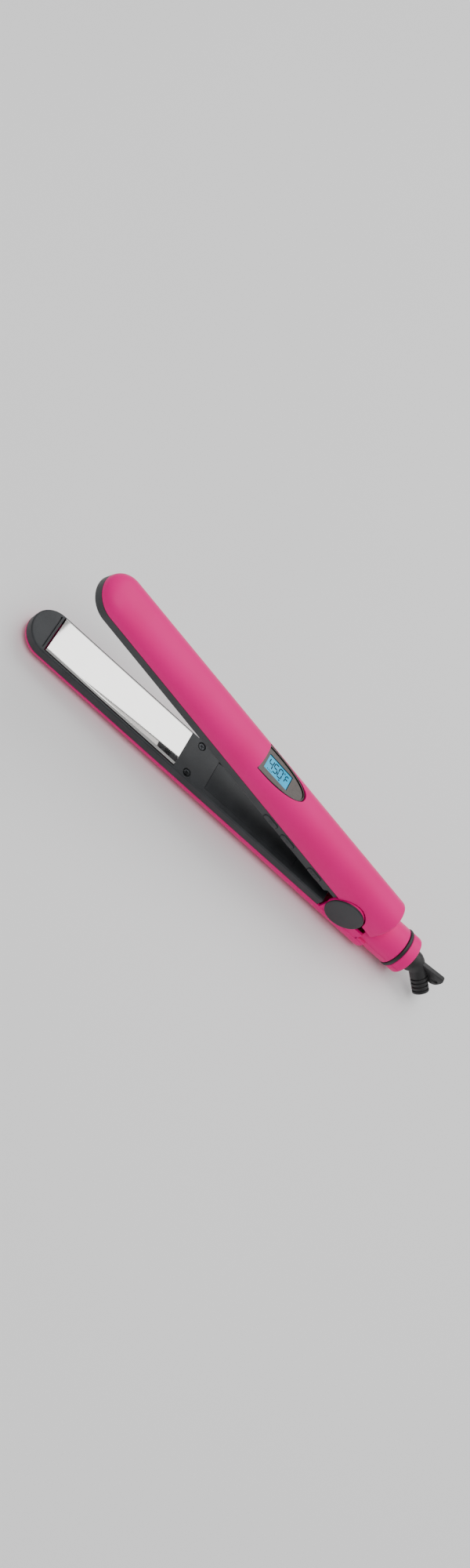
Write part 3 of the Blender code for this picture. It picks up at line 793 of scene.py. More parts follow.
@dataclass
class OuterShells:
    """The pink shells: both arms' domes, the hinge cheeks, and the neck in its two halves."""

    shop: Workshop
    wall: float = 0.0014
    cheek_y: tuple = (0.0124, 0.0143)
    cheek_radius: float = 0.0121
    cheek_rounding: float = 0.0004
    cheek_pin: float = 0.00212
    web_x: float = -0.0115
    web_z: tuple = (-0.0125, -0.0045)
    ledge_x: float = 0.0246
    ledge_y: tuple = (0.0120, 0.0142)
    ledge_z: tuple = (-0.0132, -0.0088)
    notch: float = 0.0130
    notch_neck: float = 0.0006
    neck_start: float = 0.0190
    neck_wall: float = 0.0020
    neck_end_wall: float = 0.0017
    neck_rounding: float = 0.0018
    neck_seam: float = 0.00008
    groove: tuple = (0.0434, 0.0462)
    groove_lip: float = 0.0006
    groove_depth: float = 0.0010
    cord_hole: float = 0.0074
    band_half: float = 0.00115
    band_rise: float = 0.0006

    def half_neck(self, up: int) -> bmesh.types.BMesh:
        """One half of the neck, solid and with its groove.

        Args:
            up: 1 for the upper half, -1 for the lower one.

        Returns:
            The half, closed along its seam.
        """
        radius, (first, last), lip = NECK_RADIUS, self.groove, self.groove_lip
        floor = radius - self.groove_depth
        profile = [(self.neck_start, 0.0), (self.neck_start, radius), (first - lip, radius),
                   (first - lip * 0.3, radius - lip * 0.3), (first, radius - lip), (first, floor),
                   (last, floor), (last, radius - lip), (last + lip * 0.3, radius - lip * 0.3),
                   (last + lip, radius)]
        for step in range(7):
            angle = math.pi / 2 * step / 6
            profile.append((NECK_END - self.neck_rounding * (1 - math.sin(angle)),
                            radius - self.neck_rounding * (1 - math.cos(angle))))
        profile.append((NECK_END, 0.0))
        bm = neck_ring(profile)
        keep = Vector((0.0, 0.0, NECK_Z + up * self.neck_seam))
        cut = bmesh.ops.bisect_plane(bm, geom=bm.verts[:] + bm.edges[:] + bm.faces[:], plane_co=keep,
                                     plane_no=(0.0, 0.0, up), clear_inner=True)
        rim = [part for part in cut["geom_cut"] if isinstance(part, bmesh.types.BMEdge)]
        bmesh.ops.contextual_create(bm, geom=rim)
        bmesh.ops.recalc_face_normals(bm, faces=bm.faces)
        return bm

    def neck_hollow(self) -> list[bmesh.types.BMesh]:
        """Shapes that hollow the neck and open its end."""
        return [neck_rod(0.0, NECK_END - self.neck_end_wall, NECK_RADIUS - self.neck_wall),
                neck_rod(NECK_END - 0.003, NECK_END + 0.003, self.cord_hole)]

    @staticmethod
    def slab(sign: int, x: Sequence[float], y: Sequence[float], z: Sequence[float]) -> bmesh.types.BMesh:
        """A box on one side of the arm.

        Args:
            sign: 1 for the far side, -1 for the near one.
            x: its range along the arm.
            y: its range away from the middle.
            z: its range in height.

        Returns:
            The box.
        """
        low, high = sorted(sign * edge for edge in y)
        return box((x[0], low, z[0]), (x[1], high, z[1]))

    def lower(self) -> None:
        """Lower shell with its cheeks and the lower half of the neck."""
        skin = ShellSkin(LOWER_DEPTH, LOWER_REAR_X, REAR_FILLET, FLAT_DEPTH)
        shape = Carving(skin.build(Side.LOWER), self.wall)
        shape.join(self.half_neck(-1)).cut(*self.neck_hollow())
        inside, outside = self.cheek_y
        for sign in (-1, 1):
            face = sign * outside
            cheek = soften(rod((0.0, sign * inside, 0.0), (0.0, face, 0.0), self.cheek_radius, segments=96),
                           self.cheek_rounding,
                           lambda edge, y=face: all(abs(v.co.y - y) < 1e-5 for v in edge.verts))
            web = self.slab(sign, (self.web_x, self.neck_start - 0.0003), (inside + 0.0001, outside - 0.0001),
                            self.web_z)
            ledge = self.slab(sign, (self.neck_start - 0.001, self.ledge_x), self.ledge_y, self.ledge_z)
            shape.join(cheek, web, ledge)
            shape.cut(rod((0.0, sign * 0.010, 0.0), (0.0, sign * 0.017, 0.0), self.cheek_pin))
        self.shop.piece("lower_shell_skin", shape.result(), Side.LOWER.world(), Look.PINK, "lower_arm",
                        "pink", ["lower_outer_shell"])

    def upper(self) -> None:
        """Upper shell with the display's pocket and the notches round the hinge caps."""
        skin = ShellSkin(UPPER_DEPTH, UPPER_REAR_X, REAR_FILLET, 0.0)
        neck = neck_rod(0.012, 0.06, NECK_RADIUS + self.notch_neck)
        bmesh.ops.transform(neck, matrix=Matrix.Rotation(-OPENING, 4, "Y"), verts=neck.verts)
        shape = Carving(skin.build(Side.UPPER), self.wall)
        shape.cut(prism(Display.shield(0.0), 0.012, Display.plane(-0.006)),
                  rod((0.0, -THROUGH, 0.0), (0.0, THROUGH, 0.0), self.notch, segments=128), neck)
        self.shop.piece("upper_shell_skin", shape.result(), Side.UPPER.world(), Look.PINK, "upper_arm",
                        "pink", ["upper_outer_shell"])

    def neck(self) -> None:
        """Upper half of the neck, and the ring round both halves."""
        shape = Carving(self.half_neck(1)).cut(*self.neck_hollow())
        self.shop.piece("neck_cover_skin", shape.result(), Side.LOWER.world(), Look.PINK, "lower_arm",
                        "pink", ["neck_upper_cover"])
        middle, half = sum(self.groove) / 2, self.band_half
        crown = [(middle + half * math.cos(a), NECK_RADIUS - 0.0001 + self.band_rise * math.sin(a))
                 for a in (math.pi * step / 12 for step in range(13))]
        seat = NECK_RADIUS - 0.0008
        ring = neck_ring([(middle - half, seat), (middle + half, seat)] + crown)
        self.shop.piece("neck_ring_band", ring, Side.LOWER.world(), Look.RUBBER, "lower_arm", "rubber",
                        ["neck_ring"])

    def build(self) -> None:
        """Build every pink piece."""
        self.lower()
        self.upper()
        self.neck()


# Housings and plates ----------------------------------------------------------------------------
@dataclass
class Arm:
    """The black housing of one arm with its screws, and the hot plate that floats in it."""

    shop: Workshop
    side: Side
    rear_x: float
    wall: float = 0.0015
    edge: float = 0.0011
    seam_gap: float = 0.00025
    window_tip: float = 0.0007
    window_rear: float = 0.00045
    window_side: float = 0.00025
    groove_x: tuple = (0.0029, 0.0020)
    groove_half: float = 0.0122
    groove_depth: float = 0.0012
    sink_radii: tuple = (0.0029, 0.0021)
    shank_hole: float = 0.0014
    head_h: tuple = (0.00195, 0.00260)
    head_radii: tuple = (0.0020, 0.0011)
    shank_radius: float = 0.00095
    shank_end: float = 0.0105
    recess: tuple = (0.00125, 0.00024)
    recess_turn: float = 0.4
    plate_h: tuple = (0.00015, 0.00175)
    plate_bevel: float = 0.0011

    def outline(self, inset: float) -> list[tuple]:
        """Outline of the housing from above.

        Args:
            inset: how far it is drawn in.

        Returns:
            Its corners, in order.
        """
        half = ARM_HALF - inset
        centre = TIP_X + ARM_HALF
        turns = [math.pi * step / 72 + math.pi / 2 for step in range(73)]
        nose = [(centre + half * math.cos(a), half * math.sin(a)) for a in turns]
        return nose + [(self.rear_x - inset, -half), (self.rear_x - inset, half)]

    def tray(self) -> Carving:
        """Housing with its round outer edge, plate window, screw seats and the bar at the tip.

        Returns:
            The housing, which further cuts can be added to.
        """
        lift = Matrix.Translation((0.0, 0.0, FACE_H))
        body = prism(self.outline(0.0), SEAM_H - self.seam_gap - FACE_H, lift)
        soften(body, self.edge, lambda e: all(v.co.z < FACE_H + 1e-6 for v in e.verts)
               and not all(v.co.x > self.rear_x - 1e-6 for v in e.verts), 6)
        shape = Carving(outward(body, self.side))
        hollow = prism(self.outline(self.wall), THROUGH, Matrix.Translation((0, 0, FACE_H + self.wall)))
        window = box((PLATE_X[0] - self.window_tip, -PLATE_HALF - self.window_side, 0.0),
                     (PLATE_X[1] + self.window_rear, PLATE_HALF + self.window_side, THROUGH))
        shape.cut(outward(hollow, self.side), outward(window, self.side))
        first, last = self.groove_x
        groove = box((PLATE_X[0] - first, -self.groove_half, 0.0),
                     (PLATE_X[0] - last, self.groove_half, FACE_H + self.groove_depth))
        shape.cut(outward(groove, self.side))
        for y in (-SCREW_Y, SCREW_Y):
            sink = rod((SCREW_X, y, FACE_H - 0.0004), (SCREW_X, y, FACE_H + 0.0012), *self.sink_radii)
            hole = rod((SCREW_X, y, 0.0020), (SCREW_X, y, 0.0050), self.shank_hole)
            shape.cut(outward(sink, self.side), outward(hole, self.side))
        return shape

    def screws(self) -> None:
        """Countersunk screws with a cross recess."""
        low, high = self.head_h
        length, thick = self.recess
        for label, y in (("near", -SCREW_Y), ("far", SCREW_Y)):
            head = rod((SCREW_X, y, low), (SCREW_X, y, high), *self.head_radii)
            soften(head, 0.0002, lambda e: all(v.co.z < self.head_h[0] + 0.00001 for v in e.verts))
            shape = Carving(outward(head, self.side))
            shank = rod((SCREW_X, y, high - 0.0001), (SCREW_X, y, self.shank_end), self.shank_radius)
            shape.join(outward(shank, self.side))
            for turn in (self.recess_turn, self.recess_turn + math.pi / 2):
                slot = box((-length, -thick, 0.0010), (length, thick, 0.0024))
                bmesh.ops.transform(slot, matrix=Matrix.Translation((SCREW_X, y, 0.0))
                                    @ Matrix.Rotation(turn, 4, "Z"), verts=slot.verts)
                shape.cut(outward(slot, self.side))
            name = f"{self.side.label}_screw_{label}"
            self.shop.piece(name + "_head", shape.result(), self.side.world(), Look.SCREW,
                            self.side.body, "steel", [name])

    def plate(self) -> None:
        """Mirror plate with broad bevels along its edges."""
        (low, high), bevel = self.plate_h, self.plate_bevel
        brow = low + bevel * 0.75
        profile = [(-PLATE_HALF, brow), (-PLATE_HALF + bevel, low), (PLATE_HALF - bevel, low),
                   (PLATE_HALF, brow), (PLATE_HALF, high), (-PLATE_HALF, high)]
        across = Matrix(((0, 0, 1, PLATE_X[0]), (1, 0, 0, 0), (0, 1, 0, 0), (0, 0, 0, 1)))
        bm = prism(profile, PLATE_X[1] - PLATE_X[0], across)
        soften(bm, 0.00012, every_edge, 2)
        name = f"{self.side.label}_plate"
        self.shop.piece(name + "_polished", outward(bm, self.side), self.side.world(), Look.TITANIUM,
                        name + "_float", "titanium", [name], sharp_deg=20.0)

    def dress_inside(self) -> None:
        """Finish the CAD nodes behind the plate."""
        label = self.side.label
        self.shop.dress(Look.CERAMIC, label + "_heater")
        self.shop.dress(Look.STEEL, label + "_heater_clip")
        self.shop.dress(Look.SILICONE, label + "_cushion_tip", label + "_cushion_rear")


@dataclass
class LowerArm(Arm):
    """Lower housing with its let-in panel."""

    panel_x: tuple = (-0.1112, -0.0410)
    panel_half: float = 0.0103
    panel_gap: float = 0.00016
    panel_thick: float = 0.0007
    pocket_depth: float = 0.0009
    notch_length: float = 0.0080

    def build(self) -> None:
        """Build the housing, panel, screws and plate."""
        shape = self.tray()
        (front, rear), half, gap = self.panel_x, self.panel_half, self.panel_gap
        pocket = box((front - gap, -half - gap, 0.0), (rear + gap, half + gap, FACE_H + self.pocket_depth))
        notch = box((front - 0.0002, half - 0.0006, 0.0),
                    (front + self.notch_length, half + 0.0005, FACE_H + 0.0012))
        shape.cut(outward(pocket, self.side), outward(notch, self.side))
        self.shop.piece("lower_housing_tray", shape.result(), self.side.world(), Look.HOUSING,
                        "lower_arm", "housing", ["lower_inner_housing"])
        inlay = box((front, -half, FACE_H), (rear, half, FACE_H + self.panel_thick))
        soften(inlay, 0.00015, every_edge, 2)
        step = box((front - 0.001, half - 0.0007, 0.0),
                   (front + self.notch_length + 0.0002, half + 0.001, FACE_H + 0.003))
        panel = Carving(outward(inlay, self.side)).cut(outward(step, self.side))
        self.shop.piece("inner_panel_inlay", panel.result(), self.side.world(), Look.HOUSING, "lower_arm",
                        "housing", ["inner_panel"])
        self.screws()
        self.plate()
        self.dress_inside()


@dataclass
class UpperArm(Arm):
    """Upper housing with its buttons and the knuckle of the hinge."""

    button_h: float = 0.0042
    button_size: tuple = (0.0110, 0.0040)
    button_y: tuple = (-0.0147, -0.0118)
    stations: tuple = (("plus", -0.0777), ("minus", -0.0612), ("power", -0.0337))
    button_play: float = 0.0006
    button_rounding: float = 0.00045
    mark_reach: float = 0.0011
    mark_half: float = 0.00016
    mark_rise: float = 0.00012
    step_x: float = -0.0204
    step_h: float = 0.0047
    step_outer: float = 0.0011
    step_inner: float = 0.0016
    barrel_radius: float = 0.0055
    barrel_half: float = 0.0118
    knuckle_half: float = 0.0070

    def button_plane(self, x: float, y: float) -> Matrix:
        """Plane of a button's face: X along the arm, Z into the housing."""
        return Matrix.Translation((x, y, self.button_h)) @ Matrix.Rotation(-math.pi / 2, 4, "X")

    def mark(self, name: str) -> list[bmesh.types.BMesh]:
        """Raised marks on a button: a plus, a minus, or a ring, a stroke and a bar.

        Args:
            name: the button's name.

        Returns:
            The marks, in the plane of the button's face.
        """
        reach, thick, rise, root = self.mark_reach, self.mark_half, self.mark_rise, 0.0003
        flat = box((-reach, -thick, -rise), (reach, thick, root))
        if name == "minus":
            return [flat]
        upright = box((-thick, -reach, -rise), (thick, reach, root))
        if name == "plus":
            return [flat, upright]
        flat.free()
        ring = turned([(-rise, 0.00055), (root, 0.00055), (root, 0.00085), (-rise, 0.00085)],
                      Vector((-0.0024, 0.0, 0.0)), Vector((0, 0, 1)), Vector((1, 0, 0)), 32)
        stroke = box((-thick, -0.0012, -rise), (thick, 0.0012, root))
        bmesh.ops.transform(stroke, matrix=Matrix.Rotation(0.5, 4, "Z"), verts=stroke.verts)
        bmesh.ops.translate(upright, vec=(0.0022, 0.0, 0.0), verts=upright.verts)
        return [ring, stroke, upright]

    def button(self, name: str, x: float) -> None:
        """One button with its mark.

        Args:
            name: the button's name.
            x: its place along the arm.
        """
        front, back = self.button_y
        bm = prism([(a, -b) for a, b in stadium(*self.button_size)], back - front,
                   self.button_plane(x, front))
        soften(bm, self.button_rounding, lambda e: all(v.co.y < front + 1e-6 for v in e.verts), 4)
        shape = Carving(outward(bm, self.side))
        for mark in self.mark(name):
            bmesh.ops.transform(mark, matrix=self.button_plane(x, front), verts=mark.verts)
            shape.join(outward(mark, self.side))
        self.shop.piece(f"button_{name}_cap", shape.result(), self.side.world(), Look.SATIN,
                        f"button_{name}", "black_plastic", [f"button_{name}"])

    def step_cutter(self) -> bmesh.types.BMesh:
        """Shape that raises the housing's edge in front of the hinge, with a hollow in its corner.

        Returns:
            The cutter, in X, Y and H.
        """
        inner, outer, rear = self.step_inner, self.step_outer, self.rear_x + 0.001
        quarter = [math.pi / 2 * step / 8 for step in range(9)]
        outline = [(rear, 0.0), (self.step_x - outer, 0.0)]
        outline += [(self.step_x - outer * math.cos(a), FACE_H + outer * math.sin(a) - 0.0001)
                    for a in quarter[1:]]
        outline += [(self.step_x + inner * (1 - math.cos(a)), self.step_h - inner * (1 - math.sin(a)))
                    for a in quarter]
        outline.append((rear, self.step_h))
        across = Matrix(((1, 0, 0, 0), (0, 0, -1, THROUGH), (0, 1, 0, 0), (0, 0, 0, 1)))
        return prism(outline, 2 * THROUGH, across)

    def build(self) -> None:
        """Build the housing with its knuckle, then the buttons, screws and plate."""
        shape = self.tray()
        length, height = (size + self.button_play for size in self.button_size)
        for name, x in self.stations:
            hole = prism([(a, -b) for a, b in stadium(length, height)], 0.0045,
                         self.button_plane(x, self.button_y[0] - 0.0005))
            shape.cut(outward(hole, self.side))
            self.button(name, x)
        shape.cut(outward(self.step_cutter(), self.side))
        half, ceiling = ARM_HALF - self.wall / 2, self.step_h + 0.0011
        riser = box((self.step_x - self.wall, -half, FACE_H + 0.0007),
                    (self.step_x - 0.0001, half, ceiling + 0.0001))
        roof = box((self.step_x - self.wall / 2, -half, self.step_h + 0.00005),
                   (self.rear_x - 0.0008, half, ceiling))
        shape.join(outward(riser, self.side), outward(roof, self.side))
        barrel = rod((0.0, -self.barrel_half, 0.0), (0.0, self.barrel_half, 0.0), self.barrel_radius,
                     segments=64)
        web = box((-0.0165, -self.knuckle_half, 0.0002), (0.0, self.knuckle_half, 0.0042))
        shape.join(web, soften(barrel, 0.0003, every_edge, 2))
        shape.cut(rod((0.0, -THROUGH, 0.0), (0.0, THROUGH, 0.0), PIN_HOLE))
        self.shop.piece("upper_housing_tray", shape.result(), self.side.world(), Look.HOUSING, "upper_arm",
                        "housing", ["upper_inner_housing"])
        self.screws()
        self.plate()
        self.dress_inside()


# Display ----------------------------------------------------------------------------------------
@dataclass
class Display:
    """Gunmetal bezel with a raised lip, the lit panel in its window, and its segments."""

    shop: Workshop
    gap: float = 0.0003
    lip: float = 0.0010
    floor: float = -0.0016
    rise: float = 0.0005
    panel: tuple = (-0.0019, -0.0004)
    figure_height: float = 0.0056
    bar_half: float = 0.00034
    bar_thick: float = 0.00006
    bar_level: float = -0.00039

    @staticmethod
    def shield(inset: float, steps: int = 48) -> list[tuple]:
        """Outline of the display: a straight front edge and full sides to a round end.

        Args:
            inset: how far it is drawn in.
            steps: steps round its sides.

        Returns:
            Its corners, in order.
        """
        start, end = DISPLAY_X[0] + inset, DISPLAY_X[1] - inset
        half = DISPLAY_HALF - inset
        power = 2 / POWER
        points = []
        for step in range(steps + 1):
            angle = math.pi * (step / steps - 0.5)
            along = start + (end - start) * max(math.cos(angle), 0.0) ** power
            points.append((along, half * math.copysign(abs(math.sin(angle)) ** power, angle)))
        return points

    @staticmethod
    def plane(height: float) -> Matrix:
        """Place of the display's plane.

        Args:
            height: height from the bezel's outer face.

        Returns:
            Matrix from the plane to the upper arm's frame.
        """
        centre = Vector((sum(DISPLAY_X) / 2, 0.0, DISPLAY_Z))
        tilt = Matrix.Translation(centre) @ Matrix.Rotation(DISPLAY_TILT, 4, "Y")
        return tilt @ Matrix.Translation((-centre.x, 0.0, height))

    @staticmethod
    def window(grow: float) -> list[tuple]:
        """Outline of the window, grown by a margin."""
        return [(LCD_X[0] - grow, -LCD_HALF - grow), (LCD_X[1] + grow, -LCD_HALF - grow),
                (LCD_X[1] + grow, LCD_HALF + grow), (LCD_X[0] - grow, LCD_HALF + grow)]

    def bezel(self) -> None:
        """Bezel with the window cut in it and a lip round its curved sides."""
        slab = prism(self.shield(self.gap), self.rise - self.floor, self.plane(self.floor))
        shape = Carving(soften(slab, 0.00025, every_edge, 3))
        shape.cut(prism(self.shield(self.gap + self.lip), 0.004, self.plane(-0.0001)),
                  prism(self.window(self.gap), 0.008, self.plane(-0.004)))
        self.shop.piece("display_bezel_frame", shape.result(), Side.UPPER.world(), Look.GUNMETAL,
                        "upper_arm", "bezel", ["display_bezel"])

    def bar(self, x: float, y: float, length: float, upright: bool) -> bmesh.types.BMesh:
        """One segment of a figure, with pointed ends.

        Args:
            x: its middle, along the arm.
            y: its middle, across the arm.
            length: its length.
            upright: whether it stands across the arm.

        Returns:
            The segment.
        """
        half, thick = length / 2, self.bar_half
        outline = [(-half, 0.0), (-half + thick, -thick), (half - thick, -thick), (half, 0.0),
                   (half - thick, thick), (-half + thick, thick)]
        if upright:
            outline = [(-b, a) for a, b in outline]
        return prism([(a + x, b + y) for a, b in outline], self.bar_thick, self.plane(self.bar_level))

    def figure(self, x: float, segments: str, height: float) -> list[bmesh.types.BMesh]:
        """A seven-segment figure.

        Args:
            x: its left side, along the arm.
            segments: letters of the segments that are dark.
            height: its height.

        Returns:
            The segments.
        """
        wide, half = height * 0.52, height / 2
        places = {"a": (wide / 2, half, False), "g": (wide / 2, 0.0, False), "d": (wide / 2, -half, False),
                  "f": (0.0, half / 2, True), "e": (0.0, -half / 2, True),
                  "b": (wide, half / 2, True), "c": (wide, -half / 2, True)}
        made = []
        for segment in segments:
            along, across, upright = places[segment]
            length = (half if upright else wide) - 0.00022
            made.append(self.bar(x + along, across + 0.0004, length, upright))
        return made

    def segments(self) -> None:
        """The reading: three figures, a degree ring, a letter made of bars, and two small marks."""
        start, height, low = LCD_X[0] + 0.0018, self.figure_height, -0.0036
        bars = self.figure(start, "fgbc", height) + self.figure(start + 0.0040, "afgcd", height)
        bars += self.figure(start + 0.0080, "abcdef", height)
        bars += self.figure(start + 0.0136, "aefg", 0.0044)
        ring = turned([(0.0, 0.00028), (self.bar_thick, 0.00028), (self.bar_thick, 0.00052),
                       (0.0, 0.00052)],
                      Vector((start + 0.0123, 0.0028, 0.0)), Vector((0, 0, 1)), Vector((1, 0, 0)), 24)
        bmesh.ops.transform(ring, matrix=self.plane(self.bar_level), verts=ring.verts)
        bars.append(ring)
        bars += [self.bar(start + 0.0006 + index * 0.0011, low, 0.0008, False) for index in range(4)]
        bars.append(self.bar(start + 0.0105, low, 0.0014, False))
        whole = bmesh.new()
        for part in bars:
            mesh = bpy.data.meshes.new("segment")
            part.to_mesh(mesh)
            part.free()
            whole.from_mesh(mesh)
            bpy.data.meshes.remove(mesh)
        self.shop.piece("lcd_segments", whole, Side.UPPER.world(), Look.INK, "upper_arm", "lcd")

    def build(self) -> None:
        """Build the display."""
        self.bezel()
        low, high = self.panel
        panel = soften(prism(self.window(0.0), high - low, self.plane(low)), 0.0001, every_edge, 2)
        self.shop.piece("lcd_panel", panel, Side.UPPER.world(), Look.LCD, "upper_arm", "lcd", ["lcd_screen"])
        self.segments()
        self.shop.dress(Look.CERAMIC, "lcd_backlight")
        self.shop.dress(Look.BOARD, "control_board")
        self.shop.dress(Look.SATIN, "tact_switch_plus", "tact_switch_minus", "tact_switch_power")


# Hinge and cord swivel --------------------------------------------------------------------------
@dataclass
class Hinge:
    """Round caps over the ends of the hinge pin, with the pin and the spring behind them."""

    shop: Workshop
    radius: float = 0.01225
    faces: tuple = (0.0145, 0.0156)
    crown: float = 0.00016
    rounding: float = 0.0006
    spring_x: float = -0.0095
    spring_radius: float = 0.0024
    spring_z: tuple = (-0.0135, 0.0019)
    wire: float = 0.00035
    turns: int = 5
    turn_steps: int = 20
    pressed: float = 0.83

    def cap(self, label: str, sign: int) -> None:
        """A faintly crowned disc with a rounded edge.

        Args:
            label: the cap's side, near or far.
            sign: direction that it faces along Y.
        """
        inner, outer = self.faces
        profile = [(inner, 0.0), (inner, self.radius - 0.0001)]
        for step in range(7):
            angle = math.pi / 2 * step / 6
            profile.append((outer - self.crown - self.rounding * (1 - math.sin(angle)),
                            self.radius - self.rounding * (1 - math.cos(angle))))
        for part in (0.90, 0.75, 0.55, 0.30, 0.0):
            profile.append((outer - self.crown * part ** 2, self.radius * part))
        bm = turned(profile, Vector((0, 0, 0)), Vector((0, sign, 0)), Vector((1, 0, 0)), 128)
        self.shop.piece(f"hinge_cap_{label}_disc", bm, Side.LOWER.world(), Look.SATIN, "lower_arm",
                        "black_plastic", [f"hinge_cap_{label}"], sharp_deg=50.0)

    def spring(self) -> None:
        """A round wire wound on its seat in the lower arm."""
        low, high = (end + sign * self.wire for end, sign in zip(self.spring_z, (1, -1)))
        steps = self.turns * self.turn_steps
        bm = bmesh.new()
        facing = Matrix.Translation((self.spring_x + self.spring_radius, 0.0, low))
        facing = facing @ Matrix.Rotation(math.pi / 2, 4, "X")
        bmesh.ops.create_circle(bm, cap_ends=False, radius=self.wire, segments=10, matrix=facing)
        bmesh.ops.spin(bm, geom=bm.edges[:], cent=(self.spring_x, 0.0, low), axis=(0, 0, 1),
                       dvec=(0, 0, (high - low) / steps), angle=math.tau * self.turns, steps=steps,
                       use_merge=False)
        bmesh.ops.holes_fill(bm, edges=[edge for edge in bm.edges if edge.is_boundary], sides=0)
        bmesh.ops.recalc_face_normals(bm, faces=bm.faces)
        item = self.shop.piece("hinge_spring_coil", bm, Side.LOWER.world(), Look.STEEL, "lower_arm",
                               "steel", ["hinge_spring"], sharp_deg=50.0)
        seat = Side.LOWER.world() @ Vector((self.spring_x, 0.0, self.spring_z[0]))
        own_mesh(item)

    def build(self) -> None:
        """Build both caps and the spring."""
        self.cap("near", -1)
        self.cap("far", 1)
        self.spring()
        self.shop.dress(Look.STEEL, "hinge_pin")


@dataclass
class CordSwivel:
    """Rubber strain relief: a stub, an elbow, ribs, an open cord bore and a hanging loop."""

    shop: Workshop
    stub: float = 0.0070
    neck: float = 0.0052
    bend: float = math.radians(36.0)
    roll: float = math.radians(45.0)
    straight: float = 0.0040
    sweep: float = 0.0110
    elbow_rows: int = 14
    ribs: int = 4
    rib_start: float = 0.0040
    rib_pitch: float = 0.0025
    rib: tuple = ((0.0000, 0.0), (0.00012, 0.00012), (0.0002, 0.0008), (0.0009, 0.0008),
                  (0.00100, 0.00012), (0.00115, 0.0))
    mouth: tuple = ((-0.0004, 0.0), (-0.0001, 0.00015), (0.0, 0.0004))
    bore: float = 0.0031
    loop: tuple = ((0.0075, -0.0020), (0.0215, -0.0034), (0.0235, -0.0033), (0.0250, -0.0024),
                   (0.0260, -0.0010), (0.0265, 0.0008), (0.0267, 0.0030), (0.0264, 0.0052),
                   (0.0257, 0.0066), (0.0244, 0.0071), (0.0070, 0.0052), (0.0040, 0.0040))
    loop_thick: float = 0.0030
    slot: tuple = (0.0060, 0.0026)
    slot_at: tuple = (0.0222, 0.0014)

    def rings(self) -> list[tuple]:
        """Stations of the skin.

        Returns:
            For each its distance along, its distance sideways, its angle and its radius.
        """
        rows = [(0.0, 0.0, 0.0, self.stub - 0.0004), (0.0004, 0.0, 0.0, self.stub)]
        for step in range(self.elbow_rows + 1):
            part = step / self.elbow_rows
            angle = self.bend * part
            ease = part * part * (3 - 2 * part)
            rows.append((self.straight + self.sweep * math.sin(angle), self.sweep * (1 - math.cos(angle)),
                         angle, self.stub + (self.neck - self.stub) * ease))
        along, sideways, angle, _ = rows[-1]
        reach = self.rib_start
        for _ in range(self.ribs):
            for step, dip in self.rib:
                rows.append((along + (reach + step) * math.cos(angle),
                             sideways + (reach + step) * math.sin(angle), angle, self.neck - dip))
            reach += self.rib_pitch
        for step, dip in self.mouth:
            rows.append((along + (reach + step) * math.cos(angle),
                         sideways + (reach + step) * math.sin(angle), angle, self.neck - dip))
        return rows

    def skin(self, start: Matrix) -> bmesh.types.BMesh:
        """Loft the elbow and its ribs, closed at both ends.

        Args:
            start: matrix from the start of the elbow to the lower arm's frame.

        Returns:
            The closed shape.
        """
        bm = bmesh.new()
        previous: list = []
        for along, sideways, angle, radius in self.rings():
            place = start @ Matrix.Translation((along, 0.0, -sideways)) @ Matrix.Rotation(angle, 4, "Y")
            place = place @ Matrix.Rotation(math.pi / 2, 4, "Y")
            made = bmesh.ops.create_circle(bm, cap_ends=False, segments=64, radius=radius, matrix=place)
            loop = list({edge for vert in made["verts"] for edge in vert.link_edges})
            if previous:
                bmesh.ops.bridge_loops(bm, edges=previous + loop)
            previous = loop
        bmesh.ops.holes_fill(bm, edges=bm.edges, sides=0)
        bmesh.ops.recalc_face_normals(bm, faces=bm.faces)
        return bm

    def build(self) -> None:
        """Join the loop to the elbow, open the bore and the loop's slot, and dress what is inside."""
        start = Matrix.Translation((NECK_END + 0.0004, 0.0, NECK_Z)) @ Matrix.Rotation(-self.roll, 4, "X")
        upright = Matrix.Rotation(math.pi / 2, 4, "X")
        middle = Matrix.Translation((NECK_END, self.loop_thick / 2, NECK_Z)) @ upright
        loop = soften(prism(self.loop, self.loop_thick, middle), 0.0004, every_edge, 3)
        x, z = self.slot_at
        slot = Matrix.Translation((NECK_END + x, 0.004, NECK_Z + z)) @ upright
        along, sideways, angle, _ = self.rings()[-1]
        mouth = start @ Vector((along, 0.0, -sideways))
        inwards = (start.to_3x3() @ Vector((-math.cos(angle), 0.0, math.sin(angle)))).normalized()
        shape = Carving(self.skin(start)).join(loop).cut(
            prism(stadium(*self.slot), 0.008, slot),
            rod(mouth - inwards * 0.002, mouth + inwards * 0.008, self.bore))
        self.shop.piece("strain_relief_boot", shape.result(), Side.LOWER.world(), Look.RUBBER,
                        "cord_swivel", "rubber", ["strain_relief"])
        self.shop.dress(Look.SATIN, "swivel_spindle")
        self.shop.dress(Look.BRASS, "live_contact_ring", "neutral_contact_ring", "live_brush",
                        "neutral_brush", "film_capacitor")
        self.shop.dress(Look.CERAMIC, "brush_carrier", "thermal_fuse", "thermistor")
        self.shop.dress(Look.BOARD, "power_board")
        self.shop.dress(Look.SATIN, "triac")


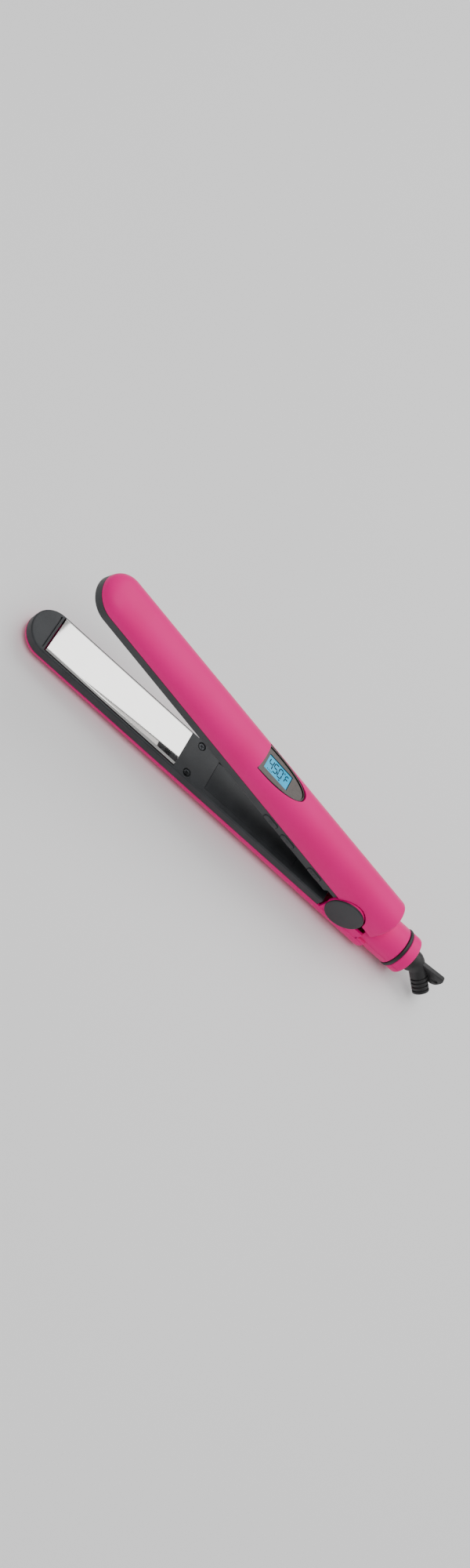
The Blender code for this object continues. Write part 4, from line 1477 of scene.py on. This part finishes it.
# Studio -----------------------------------------------------------------------------------------
@dataclass(frozen=True)
class Studio:
    """Camera, floor and soft light round the iron."""

    azimuth: float = math.radians(-25.79)
    elevation: float = math.radians(49.31)
    roll: float = math.radians(62.13)
    distance: float = 1.111
    lens: float = 45.3
    centre: tuple = (-0.110, 0.0, 0.005)
    shift_right: float = 0.00674
    shift_up: float = -0.00722
    floor_size: float = 6.0
    floor_drop: float = 0.0003
    sky: float = 0.40

    def camera(self) -> None:
        """Put the camera at its angle to the lower arm, looking at the middle of the iron."""
        away = Vector((math.sin(self.azimuth) * math.cos(self.elevation),
                       -math.cos(self.azimuth) * math.cos(self.elevation), math.sin(self.elevation)))
        level = Vector((0, 0, 1)).cross(away).normalized()
        rise = away.cross(level)
        right = level * math.cos(self.roll) + rise * math.sin(self.roll)
        top = rise * math.cos(self.roll) - level * math.sin(self.roll)
        target = Vector(self.centre) + right * self.shift_right + top * self.shift_up
        spot = target + away * self.distance
        pose = Matrix((right, top, away)).transposed().to_4x4()
        pose.translation = spot
        data = bpy.data.cameras.new("camera")
        data.lens, data.sensor_width = self.lens, 36.0
        data.clip_start, data.clip_end = 0.05, 20.0
        camera = bpy.data.objects.new("camera", data)
        camera.matrix_world = Side.LOWER.world() @ pose
        bpy.context.scene.collection.objects.link(camera)
        bpy.context.scene.camera = camera

    def floor(self) -> None:
        """A plain pale floor."""
        bm = bmesh.new()
        bmesh.ops.create_grid(bm, x_segments=1, y_segments=1, size=self.floor_size)
        mesh = bpy.data.meshes.new("floor")
        bm.to_mesh(mesh)
        bm.free()
        mesh.materials.append(Look.PAPER.value.make())
        item = bpy.data.objects.new("floor", mesh)
        item.location.z = -self.floor_drop
        bpy.context.scene.collection.objects.link(item)

    def lamp(self, name: str, spot: Sequence[float], size: float, watts: float) -> None:
        """A square soft light that faces the iron.

        Args:
            name: the light's name.
            spot: where it is.
            size: its width.
            watts: its power.
        """
        data = bpy.data.lights.new(name, "AREA")
        data.size, data.energy = size, watts
        item = bpy.data.objects.new(name, data)
        item.location = spot
        item.rotation_euler = (-Vector(spot)).to_track_quat("-Z", "Y").to_euler()
        bpy.context.scene.collection.objects.link(item)

    def light(self) -> None:
        """Even white surroundings with three soft lights."""
        world = bpy.data.worlds.new("studio")
        world.use_nodes = True
        sky = world.node_tree.nodes["Background"]
        sky.inputs["Color"].default_value = (1.0, 1.0, 1.0, 1.0)
        sky.inputs["Strength"].default_value = self.sky
        bpy.context.scene.world = world
        self.lamp("back", (0.34, 1.17, 1.58), 1.5, 18.0)
        self.lamp("rim", (1.30, 0.60, 1.20), 1.0, 4.0)
        self.lamp("top", (-0.10, -0.30, 1.90), 1.4, 19.0)

    def build(self) -> None:
        """Set up the studio."""
        self.camera()
        self.floor()
        self.light()


def main() -> None:
    """Build every sub-assembly in order."""
    logging.basicConfig(level=logging.INFO, format="%(name)s: %(message)s")
    Studio().build()
    shop = Workshop(Looks())
    OuterShells(shop).build()
    LowerArm(shop, Side.LOWER, -0.0135).build()
    UpperArm(shop, Side.UPPER, -0.0140).build()
    Display(shop).build()
    Hinge(shop).build()
    CordSwivel(shop).build()


if __name__ == "__main__":
    main()
